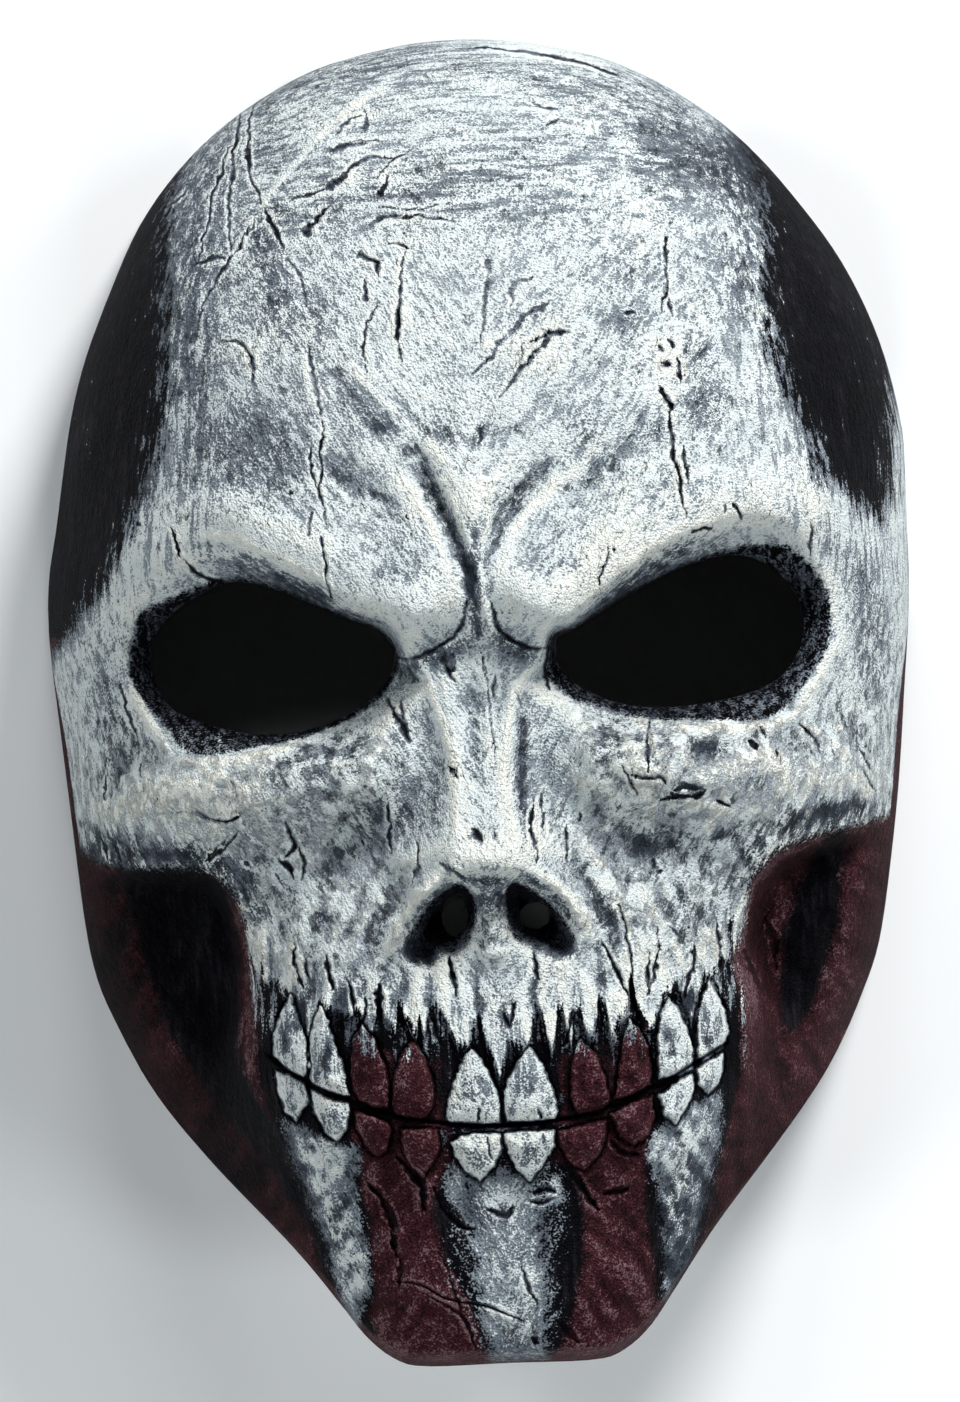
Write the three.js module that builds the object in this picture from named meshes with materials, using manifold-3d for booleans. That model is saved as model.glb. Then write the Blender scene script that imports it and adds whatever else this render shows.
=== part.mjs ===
// Skull face mask of moulded latex, lying face up on its rim.
// Millimetres. +X to the right of the face as it is looked at, +Y towards the crown, +Z out of the face.
// The origin is the middle of the rim plane.
import * as THREE from 'three';
import Module from 'manifold-3d';

// Driving dimensions

const HEIGHT = 266.2;           // crown to chin
const WIDTH = 173.6;            // across the temples
const DOME = 104;               // depth of the plain dome at the middle of the face
const WALL = 3;                 // thickness of the latex
const NOSE = 120.5;             // height of the nose tip over the rim plane
const NECK_ARCH = 40;           // how far the rim rises under the chin
const NECK_FROM = -52;          // where along the jaw the rim starts to rise
const BONE = 0xd9e0dc;

const TOP = HEIGHT / 2;
const SIDE = WIDTH / 2;
const CHIN = TOP + 0.35;        // the arch trims the chin wall, so its outline starts this much lower

// How finely the solid is made
const GRID = 256;               // steps across the grid of measured points, a power of 2
const OUTER_TOLERANCE = 0.54;
const INNER_TOLERANCE = 0.9;
const RUBS = 16;                // passes that smooth the inside, which poured latex leaves rounder
const BELOW = -4;               // cutters start this low
const THROUGH = NOSE + 20;      // and run through to here
const PAST = 10;                // and this far past the sides
const JUST_INSIDE = 0.999;

// Outline: the right half, from crown to chin, as [y, half width]
const HALF_OUTLINE = [
  [TOP, 0], [131.8, 14.5], [126.5, 33], [114, 52.4], [96, 67.6], [72, 79.4], [48, 84.9], [22, SIDE],
  [-4, 84.9], [-30, 82.3], [-50, 79.4], [-62, 75.2], [-76, 68], [-90, 57.7], [-108, 42.5], [-120, 33.7],
  [-127, 28.6], [-131.6, 23.2], [-CHIN, 17], [-CHIN, 0],
];

// Eye holes, brows, lower edges of the cheekbones, mouth line and nostril hollows
const EYE_LEFT = [
  [-66.3, 10], [-63, 1.5], [-56, -2.4], [-46, -5], [-36, -4.8], [-26, -1.3], [-19.5, 3.8],
  [-17, 9.8], [-20, 14.6], [-28, 17.8], [-40, 23.5], [-50, 25.6], [-60, 20.8], [-64.5, 16.5],
];
const EYE_RIGHT = [
  [15, 11.6], [15.6, 5.6], [22, 0.2], [31, -2.6], [41, -2.8], [54, -0.6], [61.5, 4],
  [64.8, 12], [63, 19.5], [57, 25.3], [50, 27], [40, 24.6], [28, 18.8], [19, 13.6],
];
const BROW_LEFT = [[-64, 31.5], [-52, 39], [-44, 36], [-33, 30.7], [-24, 24.5], [-17, 19]];
const BROW_RIGHT = [[66, 34.5], [56, 38.5], [47, 38.3], [37, 34.5], [27, 27.8], [16, 19.5]];
const CHEEK_LEFT = [
  [-84, -25], [-80, -28.5], [-74, -30.5], [-62, -31], [-55.5, -32], [-51, -37], [-48.5, -44],
  [-46.5, -52], [-47, -60], [-48, -70], [-46, -82], [-43, -92], [-38.8, -104.5],
];
const CHEEK_RIGHT = [
  [83, -25.5], [77, -27.3], [70, -28.5], [61, -31], [55.5, -34], [51, -40], [48.5, -48],
  [47.5, -54], [49, -62], [49, -72], [47, -82], [44, -92], [41, -104],
];
const CHEEK_ARCH = [[24, -12], [42, -17], [60, -20], [76, -20], [86, -14]];
const MOUTH = [
  [-47, -68], [-40, -73.7], [-32, -77.8], [-24, -81], [-15, -83.3], [0, -84.8],
  [15, -83.7], [24, -81.2], [32, -78], [40, -73.7], [47.5, -69.5],
];
const NOSTRIL_LEFT = [
  [-6, -36.5], [-9.5, -38], [-13.5, -42], [-17.5, -48], [-17, -51], [-13, -52.6],
  [-9.5, -50.5], [-6.5, -50], [-4, -46], [-3.3, -40],
];
const NOSTRIL_RIGHT = [
  [5.5, -36.7], [3.2, -38], [3.3, -44], [5, -48], [9, -50.6], [13.5, -52.4],
  [16.3, -49.8], [14.5, -44.8], [10.5, -40],
];

// Breathing holes in the nostrils: [x, y, half width, half height]
const BREATHING_HOLES = [[-7.4, -43, 2.6, 4], [8.7, -43.4, 3.2, 2.7]];
const HOLE_SIDES = 14;

// Teeth: [root x, root y, biting edge x, biting edge y, half width]
const UPPER_TEETH = [
  [-40.5, -56.5, -41.2, -72.3, 3.5], [-35, -59.5, -34.3, -76.4, 3.9], [-26.5, -63, -25.2, -79.8, 4.3],
  [-17, -66, -16.4, -82.6, 4.4], [-5.5, -68.5, -5.3, -84.6, 5.6], [6.5, -69, 6.3, -84.6, 5.7],
  [16.5, -68, 17.4, -83, 4.8], [27, -63.5, 26.8, -80, 4.5], [34.7, -60.5, 35.6, -76.2, 3.7],
  [43, -57, 42.7, -71.8, 3.7],
];
const LOWER_TEETH = [
  [-41, -82.5, -41.4, -73.6, 3.1], [-33, -86.5, -34.1, -77.8, 3.7], [-25, -90.5, -25.3, -82.2, 4],
  [-15.5, -95, -16.3, -84.6, 4.3], [-4.5, -95.8, -4.9, -86.2, 5.1], [6, -96, 6, -86.2, 5.2],
  [17, -95.5, 16.5, -85.2, 4.6], [26.5, -90, 26.3, -82, 4.5], [35.5, -85.5, 35.3, -78, 3.8],
  [41.5, -80.5, 42.4, -73.8, 3.2],
];
const UPPER_PROUD = 4;          // how far a tooth stands out, and how deep the gum sinks round it
const LOWER_PROUD = 3.4;
const GUM_SINK = 1.6;

// Heights over the rim plane as tables of [y, height], and half widths as tables of [y, half width]
const MUZZLE_CREST = [
  [-140, 96], [-128, 102], [-118, 106], [-106, 108], [-94, 111], [-84, 113], [-70, 113],
  [-58, 110.5], [-46, 107], [-34, 100], [-20, 84], [0, 40], [40, -80],
];
const MUZZLE_HALF = [[-140, 33], [-120, 36], [-100, 41], [-80, 46], [-60, 48], [-40, 50], [0, 50]];
const NOSE_RIDGE = [
  [-60, NOSE - 7.5], [-40, NOSE - 1], [-31, NOSE], [-24, NOSE - 4], [-12, NOSE - 11], [0, NOSE - 17],
  [8, NOSE - 20.5], [16, NOSE - 30.5], [30, NOSE - 70.5], [60, -80],
];
const NOSE_HALF = [[-60, 5], [-31, 6], [-14, 4.6], [4, 7], [30, 9]];
const TEMPLE_LINE = [[-20, 88], [18, 83], [34, 73], [48, 67], [62, 63.5], [85, 60.5], [110, 58], [140, 50]];

// By distance from the middle: height of the eye holes' edge, how steep the bank under the brow is,
// and where the bone ends over the gums
const EYE_LEVEL = [[0, 88], [15, 88], [25, 87], [41, 85], [55, 77], [66, 65], [76, 50]];
const BROW_STEEP = [[8, 7], [20, 6], [33, 2.6], [44, 1.6], [54, 0.6], [66, 0.3], [80, 0]];
const GUM_EDGE = [
  [-50, -50], [-44, -55], [-34, -62], [-22, -63], [-12, -66], [0, -68], [12, -66],
  [24, -63], [36, -61], [44, -56], [50, -50],
];

// Soft swellings and hollows: { height, at, reach across and up, turn in degrees }
const SWELLINGS = {
  foreheadLeft: { height: 3, at: [-34, 62], reach: [24, 22] },
  foreheadRight: { height: 3, at: [34, 62], reach: [24, 22] },
  betweenBrows: { height: 5, at: [0, 27], reach: [26, 15] },
  rootOfNose: { height: -6, at: [0, 6], reach: [13, 9] },
  besideNoseLeft: { height: -4.5, at: [-19, -2], reach: [7, 14], turn: 12 },
  besideNoseRight: { height: -4.5, at: [18, -2], reach: [7, 14], turn: -12 },
  underEyeLeft: { height: -3.5, at: [-29, -30], reach: [10, 12] },
  underEyeRight: { height: -3.5, at: [29, -30], reach: [10, 12] },
};
const BROW_LOBES = {
  left: { height: 5.5, at: [-12, 19], reach: [6.5, 9], turn: -20 },
  right: { height: 5.5, at: [10, 19], reach: [6.5, 9], turn: 20 },
};
const NOSE_TIP = { height: 2.2, at: [-0.8, -31.5], reach: [7.5, 4.5] };

// Raised and sunk lines: { width, height, ends: the share of the length that fades at each end, route }
const NOSE_LINES = [
  { width: 3.2, height: 5.5, ends: 0.35, route: [[-8, -34], [-13, -38.5], [-17.5, -44.5], [-20.5, -51]] },
  { width: 3.2, height: 5.5, ends: 0.35, route: [[7, -34], [11.5, -37.5], [16.5, -43.5], [20.5, -50.5]] },
  { width: 3.6, height: 4.5, ends: 0.1, route: [[0, -36], [-0.3, -44], [0.6, -52]] },
];
const EYE_RIMS = [
  {
    width: 2.2, height: 1.7, ends: 0.15,
    route: [[-71, 14], [-69, 3], [-65, -5], [-58, -10.3], [-48, -10.2], [-38, -7.6], [-27, -4]],
  },
  {
    width: 2.2, height: 1.5, ends: 0.15,
    route: [[70, 20], [72.5, 12], [68.5, 3], [63, -4.5], [55, -8], [44, -7.3], [33, -6.3], [24, -4]],
  },
];
const JAW_LINES = [
  { width: 1.1, height: -3.4, ends: 0.05, route: MOUTH },
  { width: 4.2, height: 2.6, ends: 0.15, route: [[-41, -80], [-37, -92], [-33.5, -106], [-31, -121]] },
  { width: 4.2, height: 2.6, ends: 0.15, route: [[38, -80], [36, -95], [35, -108], [32, -118]] },
];
const FROWN_LINES = [
  { width: 1.8, height: -4.5, ends: 0.25, route: [[-1.8, 30], [-0.8, 20], [0.2, 10], [1, 1]] },
  { width: 3, height: -4.2, ends: 0.35, route: [[-1.6, 20], [-2.6, 29], [-5.2, 36], [-9, 44.4], [-15, 55]] },
  { width: 3.4, height: -3, ends: 0.4, route: [[-14, 34], [-19, 40], [-25, 46], [-31, 54]] },
  { width: 3, height: -4.2, ends: 0.35, route: [[0.8, 24], [3.8, 35], [9.1, 42], [17.5, 50]] },
  { width: 3.4, height: -3, ends: 0.4, route: [[17, 35], [22, 41], [28, 47], [34, 53]] },
];

// Curves and blends

function ramp(t) {
  const c = Math.min(Math.max(t, 0), 1);
  return c * c * (3 - 2 * c);
}

// A bump of height 1 across a line, from the distance to its middle
function ridge(distance, width) {
  return Math.exp(-((distance / width) ** 2));
}

// The lower of two heights, blended over k, and the higher of them
function lower(a, b, k) {
  const h = Math.min(Math.max(0.5 + (0.5 * (b - a)) / k, 0), 1);
  return b + (a - b) * h - k * h * (1 - h);
}

function higher(a, b, k) {
  return -lower(-a, -b, k);
}

function catmullRom(a, b, c, d, t) {
  return 0.5 * (2 * b + (c - a) * t + (2 * a - 5 * b + 4 * c - d) * t * t
    + (3 * b - a - 3 * c + d) * t * t * t);
}

// A smooth curve through points of the plane
function spline(points, closed = false, steps = 4) {
  const last = points.length - 1;
  const mirrored = (p, q) => [2 * p[0] - q[0], 2 * p[1] - q[1]];
  const before = closed ? points[last] : mirrored(points[0], points[1]);
  const after = closed ? [points[0], points[1]] : [mirrored(points[last], points[last - 1])];
  const all = [before, ...points, ...after];
  const curve = [];
  for (let i = 1; i < all.length - 2; i++) {
    const [a, b, c, d] = all.slice(i - 1, i + 3);
    for (let k = 0; k < steps; k++) {
      const t = k / steps;
      curve.push([catmullRom(a[0], b[0], c[0], d[0], t), catmullRom(a[1], b[1], c[1], d[1], t)]);
    }
  }
  if (!closed) curve.push(points[last]);
  return curve;
}

// A smooth function through a table of [place, value], held level beyond its ends
function profile(table) {
  const curve = spline([...table].sort((p, q) => p[0] - q[0]), false, 6);
  return (v) => {
    if (v <= curve[0][0]) return curve[0][1];
    const k = curve.findIndex((p) => p[0] > v);
    if (k < 0) return curve[curve.length - 1][1];
    const [[x0, y0], [x1, y1]] = [curve[k - 1], curve[k]];
    return y0 + ((y1 - y0) * (v - x0)) / (x1 - x0);
  };
}

// A line to measure from: its segments, its whole length and the box around it
function measured(points) {
  const segments = [];
  let length = 0;
  for (let i = 0; i + 1 < points.length; i++) {
    const [[ax, ay], [bx, by]] = [points[i], points[i + 1]];
    const run = Math.hypot(bx - ax, by - ay);
    segments.push({ ax, ay, dx: bx - ax, dy: by - ay, run, start: length });
    length += run;
  }
  const xs = points.map((p) => p[0]);
  const ys = points.map((p) => p[1]);
  const box = [Math.min(...xs), Math.max(...xs), Math.min(...ys), Math.max(...ys)];
  return { segments, length, box };
}

function near({ box }, x, y, reach) {
  return x > box[0] - reach && x < box[1] + reach && y > box[2] - reach && y < box[3] + reach;
}

// Distance to a line, and how far along it the nearest point lies, from 0 to 1
function along(line, x, y) {
  let distance = Infinity;
  let place = 0;
  for (const { ax, ay, dx, dy, run, start } of line.segments) {
    const t = Math.min(Math.max(((x - ax) * dx + (y - ay) * dy) / (run * run), 0), 1);
    const d = Math.hypot(x - ax - t * dx, y - ay - t * dy);
    if (d < distance) {
      distance = d;
      place = (start + t * run) / line.length;
    }
  }
  return [distance, place];
}

function closedRing(points) {
  return measured([...points, points[0]]);
}

// Distance to a closed outline, below zero inside it
function outside(ring, x, y) {
  let odd = false;
  for (const { ax, ay, dx, dy } of ring.segments) {
    const crosses = (ay > y) !== (ay + dy > y);
    if (crosses && x < ax + (dx * (y - ay)) / dy) odd = !odd;
  }
  const [distance] = along(ring, x, y);
  return odd ? -distance : distance;
}

function swelling({ height, at, reach, turn = 0 }) {
  const c = Math.cos(THREE.MathUtils.degToRad(turn));
  const s = Math.sin(THREE.MathUtils.degToRad(turn));
  return (x, y) => {
    const u = (x - at[0]) * c + (y - at[1]) * s;
    const v = (y - at[1]) * c - (x - at[0]) * s;
    return height * ridge(Math.hypot(u / reach[0], v / reach[1]), 1);
  };
}

function stroke({ width, height, ends, route }) {
  const line = measured(spline(route));
  return (x, y) => {
    if (!near(line, x, y, 3 * width)) return 0;
    const [d, place] = along(line, x, y);
    return height * ramp(place / ends) * ramp((1 - place) / ends) * ridge(d, width);
  };
}

function total(forms, x, y) {
  return forms.reduce((sum, form) => sum + form(x, y), 0);
}

// The outline as a distance from the middle of the face for each direction

const right = HALF_OUTLINE.map(([y, w]) => [w, y]);
const left = right.slice(1, -1).reverse().map(([w, y]) => [-w, y]);
const outline = spline([...right, ...left], true, 10)
  .map(([x, y]) => ({ turn: Math.atan2(y, x), reach: Math.hypot(x, y) }))
  .sort((p, q) => p.turn - q.turn);
const firstTurn = outline[0];
const lastTurn = outline[outline.length - 1];
outline.unshift({ turn: lastTurn.turn - 2 * Math.PI, reach: lastTurn.reach });
outline.push({ turn: firstTurn.turn + 2 * Math.PI, reach: firstTurn.reach });

function outlineReach(turn) {
  let low = 0;
  let high = outline.length - 1;
  while (high - low > 1) {
    const middle = (low + high) >> 1;
    if (outline[middle].turn > turn) high = middle;
    else low = middle;
  }
  const [p, q] = [outline[low], outline[high]];
  return p.reach + ((q.reach - p.reach) * (turn - p.turn)) / (q.turn - p.turn);
}

// The plain dome, from 0 at the middle of the face to 1 on the outline

const CREASE = 2.2;             // how roundly the dome turns down into its side walls
const DOME_SIDE = 2.5;          // how boxy the dome is across
const DOME_CHIN = 11;           // how boxy it is under the chin
const CHIN_TURN = 0.8;          // the chin lies where the direction points this steeply down
const CHIN_BLEND = 0.18;

function dome(turn, s) {
  const underChin = ramp((-Math.sin(turn) - CHIN_TURN) / CHIN_BLEND);
  const power = DOME_SIDE + (DOME_CHIN - DOME_SIDE) * underChin;
  return DOME * (1 - s ** power) ** (1 / CREASE);
}

// Forms of the face, each a height to add or to blend in

const templeLine = profile(TEMPLE_LINE);
const TEMPLE_SINK = 5.5;        // the temples lie lower, behind a low ridge
const TEMPLE_RIDGE = 1.5;
const TEMPLE_BLEND = 12;
const TEMPLE_FROM = 8;          // they start this far above the middle

function temples(x, y) {
  const beyond = Math.abs(x) - templeLine(y);
  const above = ramp((y - TEMPLE_FROM) / 25);
  return above * (TEMPLE_RIDGE * ridge(beyond + 4.5, 4) - TEMPLE_SINK * ramp((beyond + 3) / TEMPLE_BLEND));
}

const swellings = Object.values(SWELLINGS).map(swelling);

const muzzleCrest = profile(MUZZLE_CREST);
const muzzleHalf = profile(MUZZLE_HALF);
const MUZZLE_DROP = 27;         // how far it falls from its crest to its half width, and how squarely
const MUZZLE_SQUARE = 3.2;

function muzzle(x, y) {
  return muzzleCrest(y) - MUZZLE_DROP * (Math.abs(x) / muzzleHalf(y)) ** MUZZLE_SQUARE;
}

// The hollow beside the jaw, under the overhanging edge of the cheekbone
function hollowRing(edge, side) {
  const belowChin = -150;
  const pastSide = side * 140;
  const corners = [[side * 30, belowChin], [pastSide, belowChin], [pastSide, edge[0][1]]];
  return closedRing([...spline(edge, false, 3), ...corners]);
}

const cheeks = [
  { ring: hollowRing(CHEEK_LEFT, -1), arch: measured(spline(CHEEK_ARCH.map(([x, y]) => [-x, y]))) },
  { ring: hollowRing(CHEEK_RIGHT, 1), arch: measured(spline(CHEEK_ARCH)) },
];
const HOLLOW = 25;              // depth of the hollow cheeks
const HOLLOW_AT_RIM = 0.3;      // the share of it that is left at the outline
const CHEEK_ARCH_HEIGHT = 8.5;
const CHEEK_ARCH_WIDTH = 10;

function cheekForms(x, y, s) {
  let height = 0;
  for (const { ring, arch } of cheeks) {
    const inside = -outside(ring, x, y);
    const bank = 5 + 4 * ramp((-y - 40) / 30);
    const shallower = HOLLOW_AT_RIM + (1 - HOLLOW_AT_RIM) * ramp((1 - s) / 0.22);
    height -= HOLLOW * shallower * ramp((y + 118) / 34) * ramp(inside / bank);
    const [d] = along(arch, x, y);
    height += CHEEK_ARCH_HEIGHT * ridge(d, CHEEK_ARCH_WIDTH) * ramp((3 - inside) / 4);
  }
  return height;
}

const browLines = [BROW_LEFT, BROW_RIGHT].map((route) => measured(spline(route)));
const browLobes = Object.values(BROW_LOBES).map(swelling);
const BROW_HEIGHT = 6;
const BROW_WIDTH = 8.5;

function brows(x, y) {
  return browLines.reduce((sum, line) => sum + BROW_HEIGHT * ridge(along(line, x, y)[0], BROW_WIDTH), 0);
}

const NOSE_LEAN = -0.8;         // the ridge of the nose runs a little left of the middle
const NOSE_SLOPE = 1.15;        // its sides fall this steeply, and steeper further out
const NOSE_FLARE = 0.025;
const NOSE_BOTTOM = -33.5;      // below this it is cut back under the tip
const NOSE_UNDERCUT = 2.2;
const noseRidge = profile(NOSE_RIDGE);
const noseHalf = profile(NOSE_HALF);

function noseRoof(x, y) {
  const aside = Math.max(Math.abs(x - NOSE_LEAN) - noseHalf(y), 0);
  const sides = NOSE_SLOPE * aside + NOSE_FLARE * aside * aside;
  const underside = NOSE + 0.5 - NOSE_UNDERCUT * Math.max(NOSE_BOTTOM - y, 0);
  return lower(noseRidge(y) - sides, underside, 3);
}

const noseForms = [swelling(NOSE_TIP), ...NOSE_LINES.map(stroke)];

const eyeRings = [EYE_LEFT, EYE_RIGHT].map((points) => closedRing(spline(points, true)));
const eyeLevel = profile(EYE_LEVEL);
const browSteep = profile(BROW_STEEP);
const SOCKET_REACH = 22;        // the banks of the eye sockets run at most this far out
const SOCKET_STEEP = 2;         // how steep they are, and how steep inside the hole
const SOCKET_INSIDE = 0.6;
const SOCKET_TILT = 0.2;        // the lower edge of the hole stands further out than the upper one

// Steep banks run down to the edge of each eye hole
function sockets(x, y, z) {
  let height = z;
  const level = eyeLevel(Math.abs(x)) + SOCKET_TILT * (8 - y);
  const upper = ramp((y - 6 - 0.25 * (Math.abs(x) - 20)) / 8);
  const steep = SOCKET_STEEP + upper * browSteep(Math.abs(x));
  for (const ring of eyeRings) {
    if (!near(ring, x, y, SOCKET_REACH)) continue;
    const d = outside(ring, x, y);
    if (d < SOCKET_REACH) height = lower(height, level + (d > 0 ? steep : SOCKET_INSIDE) * d, 3);
  }
  return height;
}

const eyeRims = EYE_RIMS.map(stroke);

const nostrilRings = [NOSTRIL_LEFT, NOSTRIL_RIGHT].map((points) => closedRing(spline(points, true)));
const NOSTRIL_DEPTH = 9;
const NOSTRIL_BANK = 3.2;

function nostrilHollows(x, y) {
  let height = 0;
  for (const ring of nostrilRings) {
    if (!near(ring, x, y, NOSTRIL_BANK)) continue;
    const inside = -outside(ring, x, y);
    height -= NOSTRIL_DEPTH * ramp(inside / NOSTRIL_BANK) + ramp((inside + 0.8) / 1.2);
  }
  return height;
}

// A tooth stands proud of the gum: straight at its biting edge, tapering to its root
function tooth([rootX, rootY, edgeX, edgeY, half], proud) {
  const length = Math.hypot(rootX - edgeX, rootY - edgeY);
  const ux = (rootX - edgeX) / length;
  const uy = (rootY - edgeY) / length;
  const line = measured([[rootX, rootY], [edgeX, edgeY]]);
  const gap = 2;
  return (x, y) => {
    if (!near(line, x, y, half + gap)) return 0;
    const t = ((x - edgeX) * ux + (y - edgeY) * uy) / length;
    const across = Math.abs((y - edgeY) * ux - (x - edgeX) * uy);
    const taper = half * (1 - Math.min(Math.max(t, 0), 1) ** 2.2) ** 0.9;
    const inside = Math.min(taper - across, (t + 0.02) * length, (1.02 - t) * length * 0.55);
    if (inside < -gap) return 0;
    const crown = ramp(inside / 1.1) * (0.55 + 0.45 * ramp(inside / (0.8 * half)));
    return proud * crown - GUM_SINK * ridge(inside, 0.75);
  };
}

const jawForms = [
  ...UPPER_TEETH.map((t) => tooth(t, UPPER_PROUD)),
  ...LOWER_TEETH.map((t) => tooth(t, LOWER_PROUD)),
  ...JAW_LINES.map(stroke),
];

const gumEdge = profile(GUM_EDGE);
const GUM_DEPTH = 2.2;          // the gums lie this far below the bone of the upper jaw
const GUM_HALF = 50;            // and reach this far to each side
const GUM_BOTTOM = -112;

function gums(x, y) {
  const belowBone = ramp((gumEdge(x) - y) / 1.2);
  return -GUM_DEPTH * belowBone * ramp((y - GUM_BOTTOM) / 12) * ramp((GUM_HALF - Math.abs(x)) / 3);
}

const frownForms = FROWN_LINES.map(stroke);

const EDGE = 128;               // the walls round whatever reaches the outline
const EDGE_SQUARE = 34;
const FRONT_FADE = 8;           // how late the forms of the face fade towards the outline

// Height of the face over the rim plane. s is 0 at the middle of the face and 1 on the outline.
function face(x, y, turn, s) {
  if (s >= 1) return 0;
  const front = 1 - s ** FRONT_FADE;
  let z = dome(turn, s) + (temples(x, y) + total(swellings, x, y)) * front;
  z = higher(z, muzzle(x, y), 6);
  const edge = EDGE * (1 - s ** EDGE_SQUARE) ** (1 / CREASE);
  z = lower(z, edge, Math.min(6, edge / 4));
  z += (cheekForms(x, y, s) + brows(x, y)) * front + total(browLobes, x, y);
  z = higher(z, noseRoof(x, y), 4);
  z += total(noseForms, x, y);
  z = sockets(x, y, z) + total(eyeRims, x, y) + nostrilHollows(x, y);
  z += gums(x, y) + total(jawForms, x, y) + total(frownForms, x, y);
  return z;
}

// Adaptive meshing: a square grid of points is laid over the round face, and its right triangles
// are halved only where the surface needs it.

// Places on the square grid, from -1 to 1, become places on the disc: [turn, s]
function onDisc(i, j) {
  const a = (2 * i) / GRID - 1;
  const b = (2 * j) / GRID - 1;
  const p = a * Math.sqrt(1 - (b * b) / 2);
  const q = b * Math.sqrt(1 - (a * a) / 2);
  const onEdge = i === 0 || j === 0 || i === GRID || j === GRID;
  const s = onEdge ? 1 : Math.sin((Math.hypot(p, q) * Math.PI) / 2);
  return [Math.atan2(q, p), s];
}

function gridSurface(pointAt) {
  const points = [];
  for (let j = 0; j <= GRID; j++) {
    for (let i = 0; i <= GRID; i++) points.push(pointAt(...onDisc(i, j)));
  }
  return (i, j) => points[j * (GRID + 1) + i];
}

function inGrid(k) {
  return Math.min(Math.max(k, 0), GRID);
}

function surfaceNormal(at, i, j) {
  const [west, east] = [at(inGrid(i - 1), j), at(inGrid(i + 1), j)];
  const [south, north] = [at(i, inGrid(j - 1)), at(i, inGrid(j + 1))];
  const u = new THREE.Vector3(...east).sub(new THREE.Vector3(...west));
  const v = new THREE.Vector3(...north).sub(new THREE.Vector3(...south));
  return u.cross(v).normalize();
}

// How far the surface at a grid point stands off the straight line between two points beside it
function midpointError(at, i, j, di, dj) {
  const [a, m, b] = [at(i - di, j - dj), at(i, j), at(i + di, j + dj)];
  const off = new THREE.Vector3(m[0] - (a[0] + b[0]) / 2, m[1] - (a[1] + b[1]) / 2, m[2] - (a[2] + b[2]) / 2);
  return Math.abs(off.dot(surfaceNormal(at, i, j)));
}

// For each grid point, how far off the surface would be without it, or without any point that needs it
function gridErrors(at) {
  const errors = new Float64Array((GRID + 1) ** 2);
  const index = (i, j) => j * (GRID + 1) + i;
  const get = (i, j) => (i < 0 || j < 0 || i > GRID || j > GRID ? 0 : errors[index(i, j)]);
  for (let half = 1; half < GRID; half *= 2) {
    const size = 2 * half;
    const quarter = half / 2;
    // middles of the sides of squares
    for (let j = 0; j <= GRID; j += half) {
      const level = (j / half) % 2 === 0;
      for (let i = level ? half : 0; i <= GRID; i += size) {
        let error = level ? midpointError(at, i, j, half, 0) : midpointError(at, i, j, 0, half);
        if (half > 1) {
          for (const [di, dj] of [[-1, -1], [1, -1], [-1, 1], [1, 1]]) {
            error = Math.max(error, get(i + di * quarter, j + dj * quarter));
          }
        }
        errors[index(i, j)] = error;
      }
    }
    // centres of squares, whose diagonals run in turn one way and the other
    for (let j = half; j < GRID; j += size) {
      for (let i = half; i < GRID; i += size) {
        const slant = ((i - half) / size + (j - half) / size) % 2 === 0 ? 1 : -1;
        let error = midpointError(at, i, j, half, slant * half);
        for (const [di, dj] of [[-half, 0], [half, 0], [0, -half], [0, half]]) {
          error = Math.max(error, get(i + di, j + dj));
        }
        errors[index(i, j)] = error;
      }
    }
  }
  return (i, j) => errors[index(i, j)];
}

// Triangles of the surface to within the tolerance, counter-clockwise seen from +Z
function adaptiveSurface(at, tolerance) {
  const errorAt = gridErrors(at);
  const vertices = [];
  const numbers = new Map();
  const triangles = [];
  const vertex = ([i, j]) => {
    const key = j * (GRID + 1) + i;
    if (!numbers.has(key)) {
      numbers.set(key, vertices.length);
      vertices.push(at(i, j));
    }
    return numbers.get(key);
  };
  const split = (a, b, c) => {
    const middle = [(a[0] + b[0]) / 2, (a[1] + b[1]) / 2];
    const canSplit = Number.isInteger(middle[0]) && Number.isInteger(middle[1]);
    if (canSplit && errorAt(...middle) > tolerance) {
      split(c, a, middle);
      split(b, c, middle);
    } else {
      triangles.push([vertex(a), vertex(b), vertex(c)]);
    }
  };
  split([0, 0], [GRID, GRID], [0, GRID]);
  split([GRID, GRID], [0, 0], [GRID, 0]);
  return { vertices, triangles };
}

// Closes a surface into a solid: straight walls from its rim down to a level, and a flat floor there
function closeBelow({ vertices, triangles }, floor) {
  const rim = new Map();
  for (const [a, b, c] of triangles) {
    for (const [p, q] of [[a, b], [b, c], [c, a]]) {
      if (!rim.delete(`${q},${p}`)) rim.set(`${p},${q}`, [p, q]);
    }
  }
  const all = [...vertices];
  const closed = [...triangles];
  const feet = new Map();
  for (const [p] of rim.values()) {
    const [x, y, z] = vertices[p];
    feet.set(p, z > floor ? all.push([x, y, floor]) - 1 : p);
  }
  const centre = all.push([0, 0, floor]) - 1;
  for (const [p, q] of rim.values()) {
    const [pFoot, qFoot] = [feet.get(p), feet.get(q)];
    if (pFoot !== p) closed.push([q, p, pFoot]);
    if (qFoot !== q) closed.push([q, pFoot, qFoot]);
    closed.push([qFoot, pFoot, centre]);
  }
  return { vertices: all, triangles: closed };
}

// Solids

const wasm = await Module();
wasm.setup();

function solid({ vertices, triangles }) {
  return new wasm.Manifold(new wasm.Mesh({
    numProp: 3,
    vertProperties: new Float32Array(vertices.flat()),
    triVerts: new Uint32Array(triangles.flat()),
  }));
}

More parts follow.
